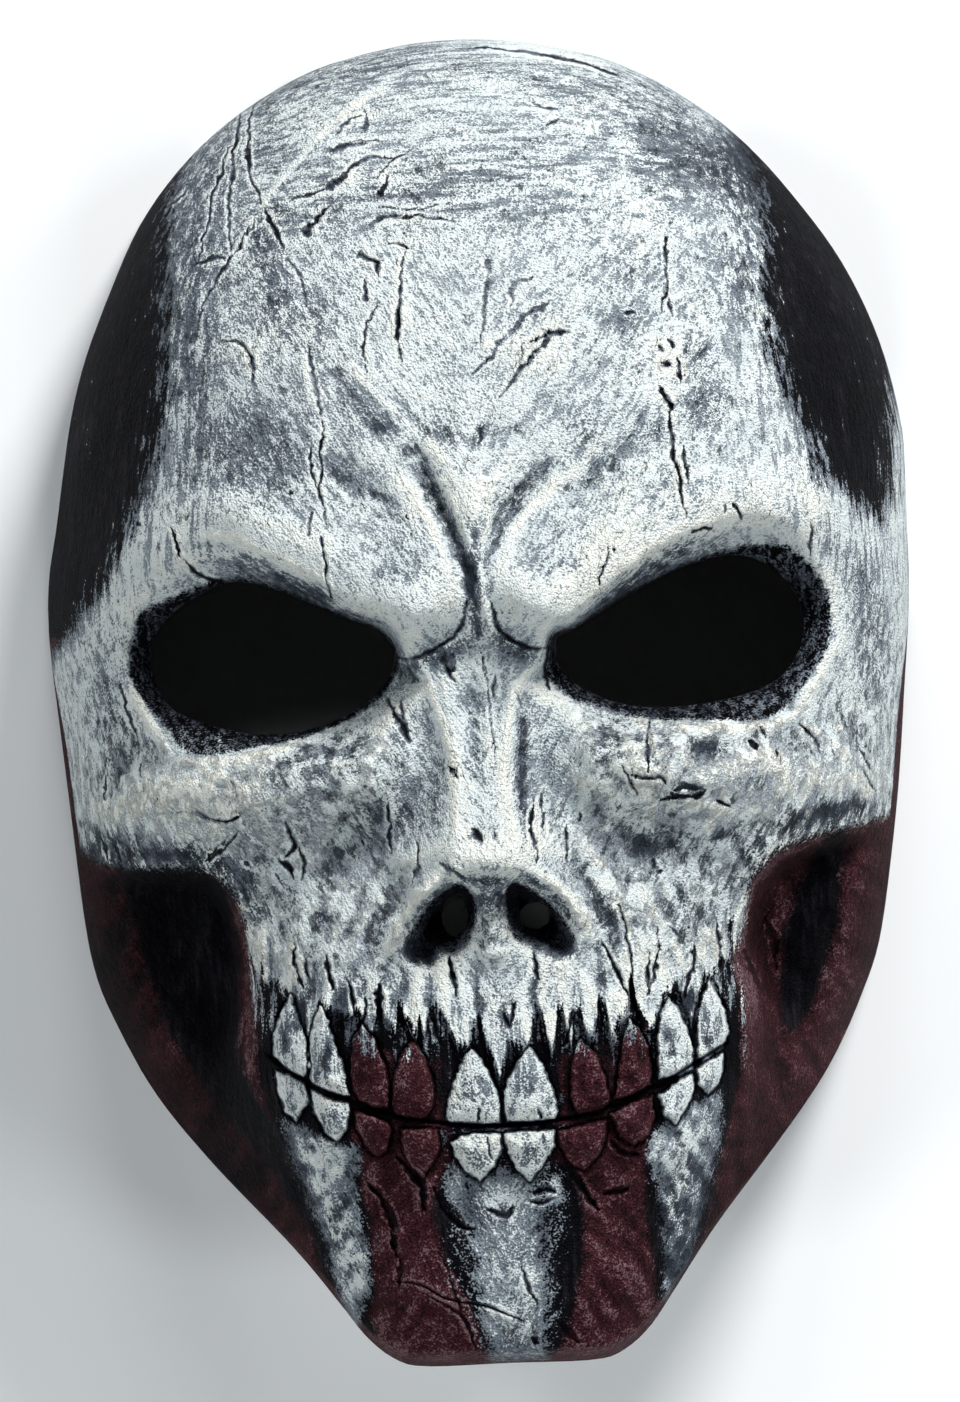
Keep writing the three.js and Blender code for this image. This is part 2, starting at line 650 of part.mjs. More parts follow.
// A straight prism: an outline in a plane, swept along the third direction
function prism(points, from, to, place) {
  const flat = points.map(([u, v]) => new THREE.Vector2(u, v));
  if (THREE.ShapeUtils.isClockWise(flat)) flat.reverse();
  const caps = THREE.ShapeUtils.triangulateShape(flat, []);
  const n = flat.length;
  const vertices = [...flat.map((p) => place(p.x, p.y, from)), ...flat.map((p) => place(p.x, p.y, to))];
  const triangles = [];
  for (const [a, b, c] of caps) triangles.push([a, c, b], [a + n, b + n, c + n]);
  for (let i = 0; i < n; i++) {
    const k = (i + 1) % n;
    triangles.push([i, k, k + n], [i, k + n, i + n]);
  }
  return solid({ vertices, triangles });
}

function outerPoint(turn, s) {
  const r = outlineReach(turn) * s;
  const [x, y] = [r * Math.cos(turn), r * Math.sin(turn)];
  return [x, y, face(x, y, turn, s)];
}

function outerSolid() {
  return solid(closeBelow(adaptiveSurface(gridSurface(outerPoint), OUTER_TOLERANCE), 0));
}

// The inside lies one wall thickness below the outside, measured square to it: a ball of that radius
// rolls under the points of the outside.
function innerHeights(outerAt) {
  const cells = new Map();
  const key = (x, y) => `${Math.floor(x / WALL)},${Math.floor(y / WALL)}`;
  for (let j = 0; j <= GRID; j++) {
    for (let i = 0; i <= GRID; i++) {
      const point = outerAt(i, j);
      const cell = key(point[0], point[1]);
      if (!cells.has(cell)) cells.set(cell, []);
      cells.get(cell).push(point);
    }
  }
  return (x, y) => {
    let height = Infinity;
    for (const dy of [-WALL, 0, WALL]) {
      for (const dx of [-WALL, 0, WALL]) {
        for (const [px, py, pz] of cells.get(key(x + dx, y + dy)) ?? []) {
          const square = WALL * WALL - (px - x) ** 2 - (py - y) ** 2;
          if (square > 0) height = Math.min(height, pz - Math.sqrt(square));
        }
      }
    }
    return height;
  };
}

// Rubs small steps off a grid of heights
function rubbed(heights, passes) {
  const n = GRID + 1;
  let now = heights;
  for (let pass = 0; pass < passes; pass++) {
    const before = now;
    const [di, dj] = pass % 2 === 0 ? [1, 0] : [0, 1];
    now = before.map((height, k) => {
      const [i, j] = [k % n, Math.floor(k / n)];
      const ahead = before[inGrid(j + dj) * n + inGrid(i + di)];
      const behind = before[inGrid(j - dj) * n + inGrid(i - di)];
      return (behind + 2 * height + ahead) / 4;
    });
  }
  return now;
}

function innerSurface() {
  const heightAt = innerHeights(gridSurface(outerPoint));
  const at = gridSurface((turn, s) => {
    const r = (outlineReach(turn) - WALL) * s;
    const [x, y] = [r * Math.cos(turn), r * Math.sin(turn)];
    return [x, y, Math.max(heightAt(x * JUST_INSIDE, y * JUST_INSIDE), 1)];
  });
  const n = GRID + 1;
  const heights = rubbed(Float64Array.from({ length: n * n }, (_, k) => at(k % n, Math.floor(k / n))[2]), RUBS);
  return (i, j) => [...at(i, j).slice(0, 2), heights[j * n + i]];
}

function innerSolid() {
  return solid(closeBelow(adaptiveSurface(innerSurface(), INNER_TOLERANCE), BELOW));
}

function eyeHole(points) {
  return prism(spline(points, true, 3), BELOW, THROUGH, (x, y, z) => [x, y, z]);
}

function breathingHole([cx, cy, rx, ry]) {
  const ring = [];
  for (let k = 0; k < HOLE_SIDES; k++) {
    const turn = (2 * Math.PI * k) / HOLE_SIDES;
    ring.push([cx + rx * Math.cos(turn), cy + ry * Math.sin(turn)]);
  }
  return prism(ring, BELOW, THROUGH, (x, y, z) => [x, y, z]);
}

// The rim is flat round the crown and sides, and rises in an arch under the chin
function neckArch() {
  const steps = 12;
  const ring = [];
  for (let k = 0; k <= steps; k++) {
    const y = NECK_FROM + ((-CHIN - NECK_FROM) * k) / steps;
    ring.push([y, NECK_ARCH * ramp(k / steps)]);
  }
  ring.push([-CHIN - PAST, NECK_ARCH], [-CHIN - PAST, 2 * BELOW], [NECK_FROM, 2 * BELOW]);
  return prism(ring, -SIDE - PAST, SIDE + PAST, (y, z, x) => [x, y, z]);
}

let shell = outerSolid().subtract(innerSolid()).subtract(neckArch());
for (const points of [EYE_LEFT, EYE_RIGHT]) shell = shell.subtract(eyeHole(points));
for (const hole of BREATHING_HOLES) shell = shell.subtract(breathingHole(hole));

const mesh = shell.getMesh();
const geometry = new THREE.BufferGeometry();
geometry.setAttribute('position', new THREE.BufferAttribute(mesh.vertProperties, mesh.numProp));
geometry.setIndex(new THREE.BufferAttribute(mesh.triVerts, 1));
geometry.computeVertexNormals();

const latex = new THREE.MeshStandardMaterial({ color: BONE, roughness: 0.75, metalness: 0 });
const maskShell = new THREE.Mesh(geometry, latex);
maskShell.name = 'mask_shell';

const skullMask = new THREE.Group();
skullMask.add(maskShell);

export default skullMask;
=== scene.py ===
"""A skull face mask of painted latex, lying face up on a pale floor.

Places and sizes are in millimetres, in the mask's own frame: +X to the right of the face, +Y towards the
crown, +Z out of the face, with the rim on the floor. Heights are worked out on a fine grid laid over the
whole face, and the mesh keeps the points of that grid that its shape and its paint need.
"""
import math

import bpy
import numpy as np
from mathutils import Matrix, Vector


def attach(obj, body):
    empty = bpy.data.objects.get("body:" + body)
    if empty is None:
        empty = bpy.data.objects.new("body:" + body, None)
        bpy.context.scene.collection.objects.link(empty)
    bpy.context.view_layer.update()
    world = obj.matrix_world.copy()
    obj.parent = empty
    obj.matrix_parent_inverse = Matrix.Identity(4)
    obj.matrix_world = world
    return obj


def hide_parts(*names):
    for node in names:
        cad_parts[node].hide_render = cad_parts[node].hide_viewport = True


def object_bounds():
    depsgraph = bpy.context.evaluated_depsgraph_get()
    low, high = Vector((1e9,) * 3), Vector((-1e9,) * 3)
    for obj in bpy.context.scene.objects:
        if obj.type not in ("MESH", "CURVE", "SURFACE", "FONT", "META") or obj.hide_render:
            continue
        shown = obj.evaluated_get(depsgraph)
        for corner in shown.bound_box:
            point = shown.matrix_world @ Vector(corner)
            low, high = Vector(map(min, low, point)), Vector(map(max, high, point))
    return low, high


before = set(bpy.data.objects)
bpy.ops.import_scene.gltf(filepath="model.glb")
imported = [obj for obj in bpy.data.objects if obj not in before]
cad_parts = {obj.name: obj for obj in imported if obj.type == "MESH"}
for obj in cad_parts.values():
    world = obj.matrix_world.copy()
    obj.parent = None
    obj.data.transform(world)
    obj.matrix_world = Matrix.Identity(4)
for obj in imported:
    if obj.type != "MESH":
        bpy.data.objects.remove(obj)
cad_box = [list(corner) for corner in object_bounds()]

MM = 0.001
SIDE = cad_box[1][0] / MM
TOP = cad_box[1][1] / MM
CHIN = -cad_box[0][1] / MM + 0.33     # before the arch under the chin trims the wall
WALL = 3.0

GRID = 1024    # steps across the grid that carries the face
INNER_GRID = 256
SPREAD = 1.22                         # how far apart its lines are in the middle, closing up towards the rim
SHAPE_ERROR = 0.055                   # how far the mesh may stand off the sculpted surface
PAINT_ERROR = 0.16                    # and the paint fields off theirs
INNER_ERROR = 0.3                     # and the inside off its own
FIELD_REACH = 4.0                     # the paint's signed fields are worked out to so many feathers

# Plain dome and side walls, and how far the main forms stand out or go in

DOME = 104.0                          # depth at the middle of the face
CREASE = 2.2                          # how roundly it turns down into the walls
DOME_SIDE = 2.5                       # how boxy it is across, and under the chin
DOME_CHIN = 11.0
EDGE = 128.0                          # the walls round whatever reaches the outline
EDGE_SQUARE = 34.0
NOSE = 120.5
NECK_FROM = -52.0                     # the rim rises in an arch from here to the chin
NECK_ARCH = 40.0
TEMPLE_DEPTH = 5.5
HOLLOW_DEPTH = 25                     # beside the jaw
CHEEKBONE_HEIGHT = 8.5
BROW_HEIGHT = 6
BROW_WIDTH = 8.5
NOSTRIL_DEPTH = 8.5
GUM_DEPTH = 1.8                       # from the bone down to the gums
BONE_TEETH_PROUD = 3.8
RED_TEETH_PROUD = 3.4
MOUTH_DEPTH = 2.4
MOUTH_WIDTH = 0.42
JAW_HALF = 49                         # half the width of the jaw between the cheek hollows
WALL_PAINT_TOP = 16                   # how far up the face the red of the side walls runs

HALF_OUTLINE = (
    (TOP, 0), (131.8, 14.5), (126.5, 33), (114, 52.4), (96, 67.6), (72, 79.4), (48, 84.9), (22, SIDE),
    (-4, 84.9), (-30, 82.3), (-50, 79.4), (-62, 75.2), (-76, 68), (-90, 57.7), (-108, 42.5), (-120, 33.7),
    (-127, 28.6), (-131.6, 23.2), (-CHIN, 17), (-CHIN, 0),
)

# How far the outline stands to the right of an even one, by y
OUTLINE_LEAN = (
    (-140, 0), (-118, 0), (-90, -1.1), (-50, -1.2), (-20, -0.4), (22, 0), (40, 1.8), (60, 2.2), (84, 2.1),
    (100, 0.8), (122, 0.4), (131, 0.2), (140, 0),
)

# Eye holes, brows, cheekbones, mouth and nostrils

EYE_LEFT = (
    (-66.3, 10), (-63, 1.5), (-56, -2.4), (-46, -5), (-36, -4.8), (-26, -1.3), (-19.5, 3.8), (-17, 9.8),
    (-20, 14.6), (-28, 17.8), (-40, 23.5), (-50, 25.6), (-60, 20.8), (-64.5, 16.5),
)
EYE_RIGHT = (
    (15, 11.6), (15.6, 5.6), (22, 0.2), (31, -2.6), (41, -2.8), (54, -0.6), (61.5, 4), (64.8, 12),
    (63, 19.5), (57, 25.3), (50, 27), (40, 24.6), (28, 18.8), (19, 13.6),
)
BROW_LEFT = ((-64, 31.5), (-52, 39), (-44, 36), (-33, 30.7), (-24, 24.5), (-17, 19))
BROW_RIGHT = ((66, 34.5), (56, 38.5), (47, 38.3), (37, 34.5), (27, 27.8), (16, 19.5))
CHEEK_LEFT = (
    (-84, -25), (-80, -28.5), (-74, -30.5), (-62, -31), (-55.5, -32), (-51, -37), (-48.5, -44),
    (-46.5, -52), (-47, -60), (-48, -70), (-46, -82), (-43, -92), (-38.8, -104.5),
)
CHEEK_RIGHT = (
    (83, -25.5), (77, -27.3), (70, -28.5), (61, -31), (55.5, -34), (51, -40), (48.5, -48), (47.5, -54),
    (49, -62), (49, -72), (47, -82), (44, -92), (41, -104),
)
CHEEK_ARCH = ((24, -12), (42, -17), (60, -20), (76, -20), (86, -14))
MOUTH = (
    (-47, -68), (-40, -73.7), (-32, -77.8), (-24, -81), (-15, -83.3), (0, -84.8), (15, -83.7), (24, -81.2),
    (32, -78), (40, -73.7), (47.5, -69.5),
)
NOSTRIL_LEFT = (
    (-6, -36.5), (-9.5, -38), (-13.5, -42), (-17.5, -48), (-17, -51), (-13, -52.6), (-9.5, -50.5),
    (-6.5, -50), (-4, -46), (-3.3, -40),
)
NOSTRIL_RIGHT = (
    (5.5, -36.7), (3.2, -38), (3.3, -44), (5, -48), (9, -50.6), (13.5, -52.4), (16.3, -49.8), (14.5, -44.8),
    (10.5, -40),
)
BREATHING_HOLES = ((-7.4, -43, 2.6, 4.0), (8.7, -43.4, 3.2, 2.7))    # x, y, half width, half height

# Outlines of the teeth, from the left: those painted bone, then those painted red
BONE_TEETH = (
    ((-40.7, -57.3), (-42.8, -60.8), (-44.3, -65), (-44.6, -69), (-42.6, -71.8), (-38.7, -74),
     (-37.4, -71.6), (-37.8, -67), (-39.2, -61.5)),
    ((-34.8, -59.7), (-36.6, -63.5), (-37.6, -68.5), (-37.4, -75.2), (-34, -77.2), (-29.7, -77.7),
     (-30.4, -73.4), (-32, -68), (-33.3, -63)),
    ((-5.2, -69.3), (-7.2, -72.2), (-9.2, -76.2), (-10.8, -82.6), (-10, -83.7), (-5, -84.4), (-0.1, -84.4),
     (0.3, -80.8), (-0.6, -76.6), (-3, -72)),
    ((6.5, -69.6), (4.2, -72), (1.6, -76), (0.8, -79.6), (1.4, -84), (6, -84.3), (11, -84.1), (11.6, -82.6),
     (10.8, -77.8), (8.8, -73)),
    ((34.5, -60.9), (32.8, -64.2), (32, -69), (31.9, -76.8), (35, -76.6), (38.8, -75.4), (39, -71),
     (37.8, -66.4), (36.2, -62.6)),
    ((42.9, -57.5), (40.9, -61.7), (40, -66.2), (39.9, -73), (40.8, -73.8), (45.4, -70.9), (46.3, -68),
     (45.6, -64), (44.4, -60)),
    ((-44.4, -72.2), (-38.4, -74.8), (-37.8, -78.4), (-40.6, -82.4), (-42.7, -80.4), (-43.9, -76.4)),
    ((-37.4, -76.2), (-33.2, -78.6), (-29.9, -79), (-29.7, -81), (-30.8, -84.6), (-32.7, -86.6), (-35, -85),
     (-36.8, -80.8)),
    ((-9.9, -87.8), (-8, -86.7), (-4.2, -86.1), (0, -86.5), (0.2, -89.6), (-1.4, -93), (-4.5, -95.6),
     (-7.2, -93.7), (-9, -90.8)),
    ((0.7, -86.6), (5.4, -86.1), (10.8, -86.3), (10.5, -89.4), (8.3, -93), (5.5, -96.3), (3.3, -94),
     (1.3, -90.4)),
    ((31.8, -80.2), (35.8, -77.6), (38.7, -76.2), (38.9, -79.4), (37.4, -82.6), (35, -86.2), (32.6, -83.8)),
    ((39.4, -75.4), (42, -74), (45, -72.6), (44.8, -75.8), (43.7, -78.4), (41.7, -80.6), (40, -78.4)),
)
RED_TEETH = (
    ((-26.7, -63.5), (-28.5, -66.6), (-29.2, -70.5), (-29.2, -76.4), (-27.8, -78.8), (-25, -80.2),
     (-22, -80.4), (-21.8, -77), (-22.7, -71.4), (-24.4, -66.6)),
    ((-16.8, -67.2), (-19.2, -70.2), (-20.9, -74.4), (-21.4, -80), (-20.6, -81.9), (-18, -82.6),
     (-14.6, -82.8), (-13.4, -80.6), (-12.8, -76.4), (-14.2, -71.5), (-15.6, -68.4)),
    ((16.7, -68.2), (15, -71.4), (14.2, -76.6), (14.6, -81.6), (15.8, -83.2), (20, -83), (21.9, -81.4),
     (21.4, -76.6), (20, -72.2)),
    ((26.7, -64.8), (25.3, -68), (24.2, -73.6), (23, -80.4), (26.8, -79.6), (30.3, -78), (30.7, -74.6),
     (30, -70.2), (28.6, -66.8)),
    ((-29, -80.6), (-25, -82), (-21.8, -83.6), (-21.6, -85.4), (-22.6, -88.6), (-24.6, -90), (-26.7, -88.2),
     (-28.6, -84.4)),
    ((-19.9, -84.8), (-16, -85), (-12.4, -85), (-12, -88), (-13.4, -91.8), (-15.8, -94.6), (-17.9, -92.4),
     (-19.5, -88.8)),
    ((11.5, -86.4), (15.8, -85.6), (21.2, -84.6), (20.8, -88.2), (19.2, -92), (16.3, -94.4), (13.4, -92.4),
     (11.8, -89.4)),
    ((22.1, -83.6), (26.6, -81.4), (30.6, -80), (30.8, -84.4), (29.6, -88), (26.4, -90), (23.8, -88)),
)

# Lower edge of the upper jaw's bone: the tips that hang between the teeth and the notches between them
FRINGE = (
    (-50, -46), (-46, -53), (-44.5, -55), (-40.7, -56.6), (-39.4, -60), (-37.4, -65.5), (-36.2, -62),
    (-34.8, -59.5), (-31.6, -60), (-30, -62.4), (-28.8, -60.6), (-27.6, -60), (-24.8, -65), (-24, -62),
    (-23.1, -57), (-22, -61), (-20.2, -65), (-19.4, -60.6), (-18.4, -61), (-16.2, -66), (-15.2, -62.4),
    (-14.4, -66), (-13.4, -61.4), (-10.6, -61), (-7.6, -69.3), (-5.4, -68.3), (-4.4, -65), (-3.3, -62.4),
    (-2.5, -67), (0.4, -75.6), (1.7, -71), (2.1, -67.6), (4, -70.6), (6.6, -68), (8.2, -61), (9, -62),
    (11, -70.4), (12.4, -62), (13.6, -62), (14.8, -69), (15.8, -62.6), (17, -63), (18, -67), (19.4, -67.6),
    (20.6, -60), (21.8, -60.4), (23, -67.4), (26.4, -61.4), (27.2, -55), (28, -60), (29.4, -66),
    (31.4, -66), (33, -61), (34.6, -60), (36.2, -58.4), (37.6, -62), (39, -66), (40.2, -61), (41.6, -57.4),
    (43.4, -56.8), (46.5, -53), (50, -50),
)

# Heights and half widths by y, and by distance from the middle
MUZZLE_CREST = (
    (-140, 96), (-128, 102), (-118, 106), (-106, 108), (-94, 111), (-84, 113), (-70, 113), (-58, 110.5),
    (-46, 107), (-34, 100), (-20, 84), (0, 40), (40, -80),
)
MUZZLE_HALF = ((-140, 33), (-120, 36), (-100, 41), (-80, 46), (-60, 48), (-40, 50), (0, 50))
NOSE_RIDGE = (
    (-60, NOSE - 7.5), (-40, NOSE - 1), (-31, NOSE), (-24, NOSE - 4), (-12, NOSE - 11), (0, NOSE - 17),
    (8, NOSE - 20.5), (16, NOSE - 30.5), (30, NOSE - 70.5), (60, -80),
)
NOSE_HALF = ((-60, 5), (-31, 6), (-14, 4.6), (4, 7), (30, 9))
NOSE_LEAN = -0.8                      # the ridge of the nose runs a little left of the middle
TEMPLE_LINE = ((-20, 88), (18, 83), (34, 73), (48, 67), (62, 63.5), (85, 60.5), (110, 58), (140, 50))
EYE_LEVEL = ((0, 88), (15, 88), (25, 87), (41, 85), (55, 77), (66, 65), (76, 50))
BROW_STEEP = ((8, 7), (20, 6), (33, 2.6), (44, 1.6), (54, 0.6), (66, 0.3), (80, 0))

# Broad swellings and hollows: height, x, y, reach across and along, turn
SWELLS = (
    # both sides of the forehead, between the brows and under them, beside the nose, and the cheeks
    (3, -34, 62, 24, 22), (3, 34, 62, 24, 22), (5, 0, 27, 26, 15), (-6, 0, 6, 13, 9),
    (-4.5, -19, -2, 7, 14, 12), (-4.5, 18, -2, 7, 14, -12), (-3.5, -29, -30, 10, 12),
    (-3.5, 29, -30, 10, 12),
)
FROWN_SWELLS = ((5.5, -12, 19, 6.5, 9, -20), (5.5, 10, 19, 6.5, 9, 20))

# Folds and ridges: width, height, how much darker the paint is there, mostly as painted shade in hollows and
# under forms (below 0 lighter, as painted highlight on ridges), and the route
FOLDS = (
    # beside and between the nostrils, with painted highlight on their ridges and painted shade along the
    # nostrils
    (2.6, 4.6, 0, ((-8, -34), (-13.4, -38.5), (-18, -44.5), (-21, -51))),
    (2.6, 4.6, 0, ((7, -34), (12, -37.5), (17, -43.5), (20.6, -50.5))),
    (3.6, 4.5, 0, ((0, -33), (-0.3, -44), (0.6, -56))),
    (0.9, 0.9, -0.5, ((-8, -33), (-14.4, -38.8), (-19.2, -45.4), (-21.4, -52))),
    (0.9, 0.9, -0.5, ((6.6, -33), (12.6, -37), (17.4, -42.6), (20.8, -50.4))),
    (1.3, 0, 0.5, ((-4, -36), (-8.6, -37), (-12.4, -39.4), (-16.2, -44), (-19, -50))),
    (1.3, 0, 0.5, ((2.6, -36), (6.6, -35.6), (10.6, -38), (14.8, -42.6), (17.8, -48.6))),
    # round the eyes: painted highlight on the rims and brows, painted shade under the brows
    (2.2, 1.5, 0, ((-72, 18), (-70, 4), (-65, -5), (-58, -10.3), (-48, -10.2), (-38, -7.6), (-24, -3))),
    (2.2, 1.5, 0, ((70, 24), (72.5, 12), (68.5, 3), (63, -4.5), (55, -8), (44, -7.3), (33, -6.3),
        (22, -3))),
    (0.8, 0.7, -0.5, ((-73, 14), (-71, 6), (-68.6, 1), (-65, -5), (-61, -9.3), (-54, -10.4), (-45, -9),
        (-38, -7.4), (-29, -4.4), (-20, 0))),
    (0.8, 0.6, -0.45, ((73, 17), (72, 10), (68.6, 3.6), (65.4, -1), (61.4, -5.8), (55, -7.4), (46, -7.4),
        (34, -6.2), (24, -3.8))),
    (1.2, 0.6, -0.35, ((-62, 31), (-56, 34.6), (-50, 34.4), (-44, 32), (-37, 28.4), (-30, 24.8),
        (-24, 20.6), (-20, 16))),
    (1.2, 0.6, -0.35, ((16, 15), (22, 20.2), (29, 25.6), (35, 29.6), (41, 32.2), (48, 34.6), (56, 34))),
    (2.4, 0, 0.42, ((-60, 29), (-52, 30.6), (-44, 28.6), (-37, 25.2), (-31, 22), (-25, 18.4), (-19, 14))),
    (2.5, 0, 0.46, ((54, 30.8), (46, 30.2), (38, 27.4), (32, 24), (26, 20.2), (17, 14))),
    # the frown, with painted shade in its furrows and painted highlight on the ridges between them
    (1.4, -0.8, 0.45, ((-0.3, 38), (-0.6, 31), (-0.9, 24), (-1.3, 15))),
    (1.3, -1.2, 0.14, ((-2.2, 34), (-1.6, 26), (-0.8, 18), (0.2, 8))),
    (3.0, -2.8, 0, ((-1.6, 20), (-2.6, 29), (-5.2, 36), (-9, 44.4), (-15, 55))),
    (3.4, -2.2, 0, ((-14, 34), (-19, 40), (-25, 46), (-31, 54))),
    (3.0, -2.8, 0, ((0.8, 24), (3.8, 35), (9.1, 42), (17.5, 50))),
    (3.4, -2.2, 0, ((17, 35), (22, 41), (28, 47), (34, 53))),
    (2.2, 0, 0.1, ((0, 12), (-2.6, 29), (-5.2, 36), (-9, 44.4), (-15, 54), (-24, 64))),
    (0.8, 0, 0.2, ((-0.6, 8), (-1.6, 20), (-3.2, 30), (-6.4, 38), (-9, 43))),
    (2.8, 0, 0.06, ((-8, 28), (-14, 36), (-19, 41), (-24.6, 46), (-32, 55))),
    (2.0, 0, 0.06, ((0, 20), (3.8, 35), (9.1, 42), (17, 49), (26, 56))),
    (0.8, 0, 0.16, ((0.4, 18), (3.4, 30), (8, 38), (12, 43))),
    (2.6, 0, 0.04, ((12, 30), (17.6, 36), (22, 41), (27.4, 46.4), (38, 56))),
    (1.3, 0.4, -0.3, ((-4.4, 25), (-7.6, 33), (-11.6, 40.4), (-17, 49.6))),
    (1.3, 0.4, -0.3, ((3.2, 22), (6.6, 31.6), (12, 38.6), (20, 46))),
    (2.6, -0.6, 0.16, ((-36, 76), (-30, 69), (-22, 60), (-12, 48))),
    (1.2, 0.4, -0.1, ((-26, 70), (-19, 62), (-11, 53))),
    # the nose: painted highlight on its ridges and tip, painted shade down its sides, under its tip and
    # under the brows at its root
    (1.0, 0.9, -0.4, ((-14, 10), (-10.6, 3), (-8.4, -4), (-7, -10), (-6.6, -18), (-6.6, -29))),
    (1.3, 1.0, -0.45, ((12, 11.6), (8, 4), (6, 0), (4.6, -6), (3.7, -15), (3, -26))),
    (1.4, -0.3, 0.12, ((-13.6, 5), (-10.8, -8), (-10, -18), (-11.8, -32))),
    (1.7, -0.8, 0.05, ((-2.4, 9), (-2.2, 0), (-2, -12), (-2, -25))),
    (3.4, 0, 0.2, ((-16, 5), (-17.4, -8), (-18, -22), (-21, -36))),
    (1.3, -0.6, 0.42, ((9.4, 4), (7.8, -5), (7.2, -15), (7.4, -26), (9.6, -32))),
    (2.4, 0, 0.08, ((14, 2), (12.6, -10), (13, -22))),
    (2.0, 0, 0.1, ((-1.4, 8), (-1.8, -4), (-2, -14), (-2, -24))),
    (1.9, 0, 0.5, ((-20, 8.4), (-15, 7.2), (-9, 9), (-5, 11.6), (-1.4, 16))),
    (1.9, 0, 0.5, ((17, 8.6), (11.6, 8), (7.4, 9.6), (4, 12.6), (1, 17))),
    (1.8, 0.6, -0.3, ((-8.4, -29), (-5, -31), (0, -31.6), (4.6, -30.4), (7, -29.4))),
    (1.0, -0.5, 0.3, ((-9, -34), (-4, -35.6), (2, -36), (7, -34.6))),
    # cheekbones, with painted shade on their undersides and painted highlight on their tops, and painted
    # shade in the hollows beside the nose
    (2.4, 0, 0.5, ((-86, -21), (-76, -26.6), (-66, -28), (-57, -29), (-50, -33), (-46.8, -40), (-45, -52))),
    (2.4, 0, 0.5, ((86, -21), (79, -24.6), (70, -25.6), (61, -27.6), (54, -31), (49, -38), (46.4, -48))),
    (2.0, 0, 0.4, ((53, -22.6), (60, -24.4), (68, -25), (77, -24))),
    (3.4, 2.0, -0.3, ((-88, -18), (-80, -19), (-72, -17.6), (-64, -15), (-56, -15.4), (-44, -20))),
    (3.0, 1.5, -0.22, ((42, -15), (54, -14.4), (62, -16.4), (70, -18.6), (80, -19), (88, -19))),
    (1.6, 0.9, -0.2, ((-60, -10), (-53, -13), (-47, -18), (-44, -25), (-42, -33))),
    (1.4, 0.8, -0.2, ((60, -6), (66, -9), (72, -14), (78, -17))),
    (1.5, 0.8, -0.15, ((50, -16), (47, -22), (44, -27), (42, -34))),
    (1.3, 0.8, -0.25, ((38, -23), (42, -22.6), (48, -24.4))),
    (1.4, 0.6, -0.2, ((-62, -23), (-56, -24), (-50, -24.6))),
    (2.2, -0.5, 0.25, ((-19, -35), (-21, -41), (-24, -46), (-24.6, -53))),
    (2.2, -0.4, 0.2, ((19, -36), (22, -42), (25, -48))),
    # raised creases on the forehead, with painted highlight along them
    (0.6, 0.45, -0.25, ((-1, 131), (-12, 126), (-25, 117), (-32, 110), (-37, 105), (-41, 99), (-45, 93),
        (-49, 87))),
    (0.6, 0.4, -0.2, ((-12, 90), (-14, 84), (-15, 78), (-14.8, 70))),
    (0.8, 0.4, -0.2, ((-33.2, 72), (-32.6, 66), (-31.4, 58))),
    (1.0, 0.5, -0.15, ((1, 132.2), (12, 131.4), (24, 128.6), (31, 126))),
    (1.0, 0, -0.35, ((60, 98), (59.4, 88), (58, 80), (60.4, 72), (63, 62))),
    # beside the stripes under the mouth
    (4.2, 2.6, 0, ((-41, -80), (-37, -92), (-33.5, -106), (-31, -121))),
    (4.2, 2.6, 0, ((38, -80), (36, -95), (35, -108), (32, -118))),
)

# Steps in the surface, up on the left of the route: height, how far the step takes, how far it dies away
BANKS = (
    (2.6, 2.0, 15, ((-13, 55), (-9, 44.4), (-5.2, 36), (-2.9, 29), (-2.7, 21), (-3.5, 15.6), (-5.4, 13.4),
        (-8.4, 11.4), (-12, 9.6), (-15, 9.2), (-17.4, 9.8), (-19.4, 12.2), (-21.6, 16.4), (-27, 20.8),
        (-33, 25), (-40, 28.4), (-46, 31.4), (-54, 33), (-62, 31))),
    (2.6, 2.0, 15, ((62, 31), (54, 34), (47, 32.6), (41, 30.4), (35, 27.8), (29, 23.8), (22, 18.6),
        (17, 13.6), (14, 10.6), (11, 10.2), (8, 11.2), (5, 13.2), (3.4, 15.6), (2.4, 21), (2, 28),
        (4.6, 35), (9.6, 41.6), (17, 49))),
)

# The creases along the lower ends of the brows
BROW_CREASES = (
    ((-17.8, 9.6), (-15, 8.8), (-12, 9.2), (-8.4, 11), (-5.4, 13), (-3.4, 15.4), (-2.6, 20)),
    ((14, 10), (11, 9.7), (8, 10.7), (5, 12.7), (3.3, 15.2), (2.4, 20)),
)

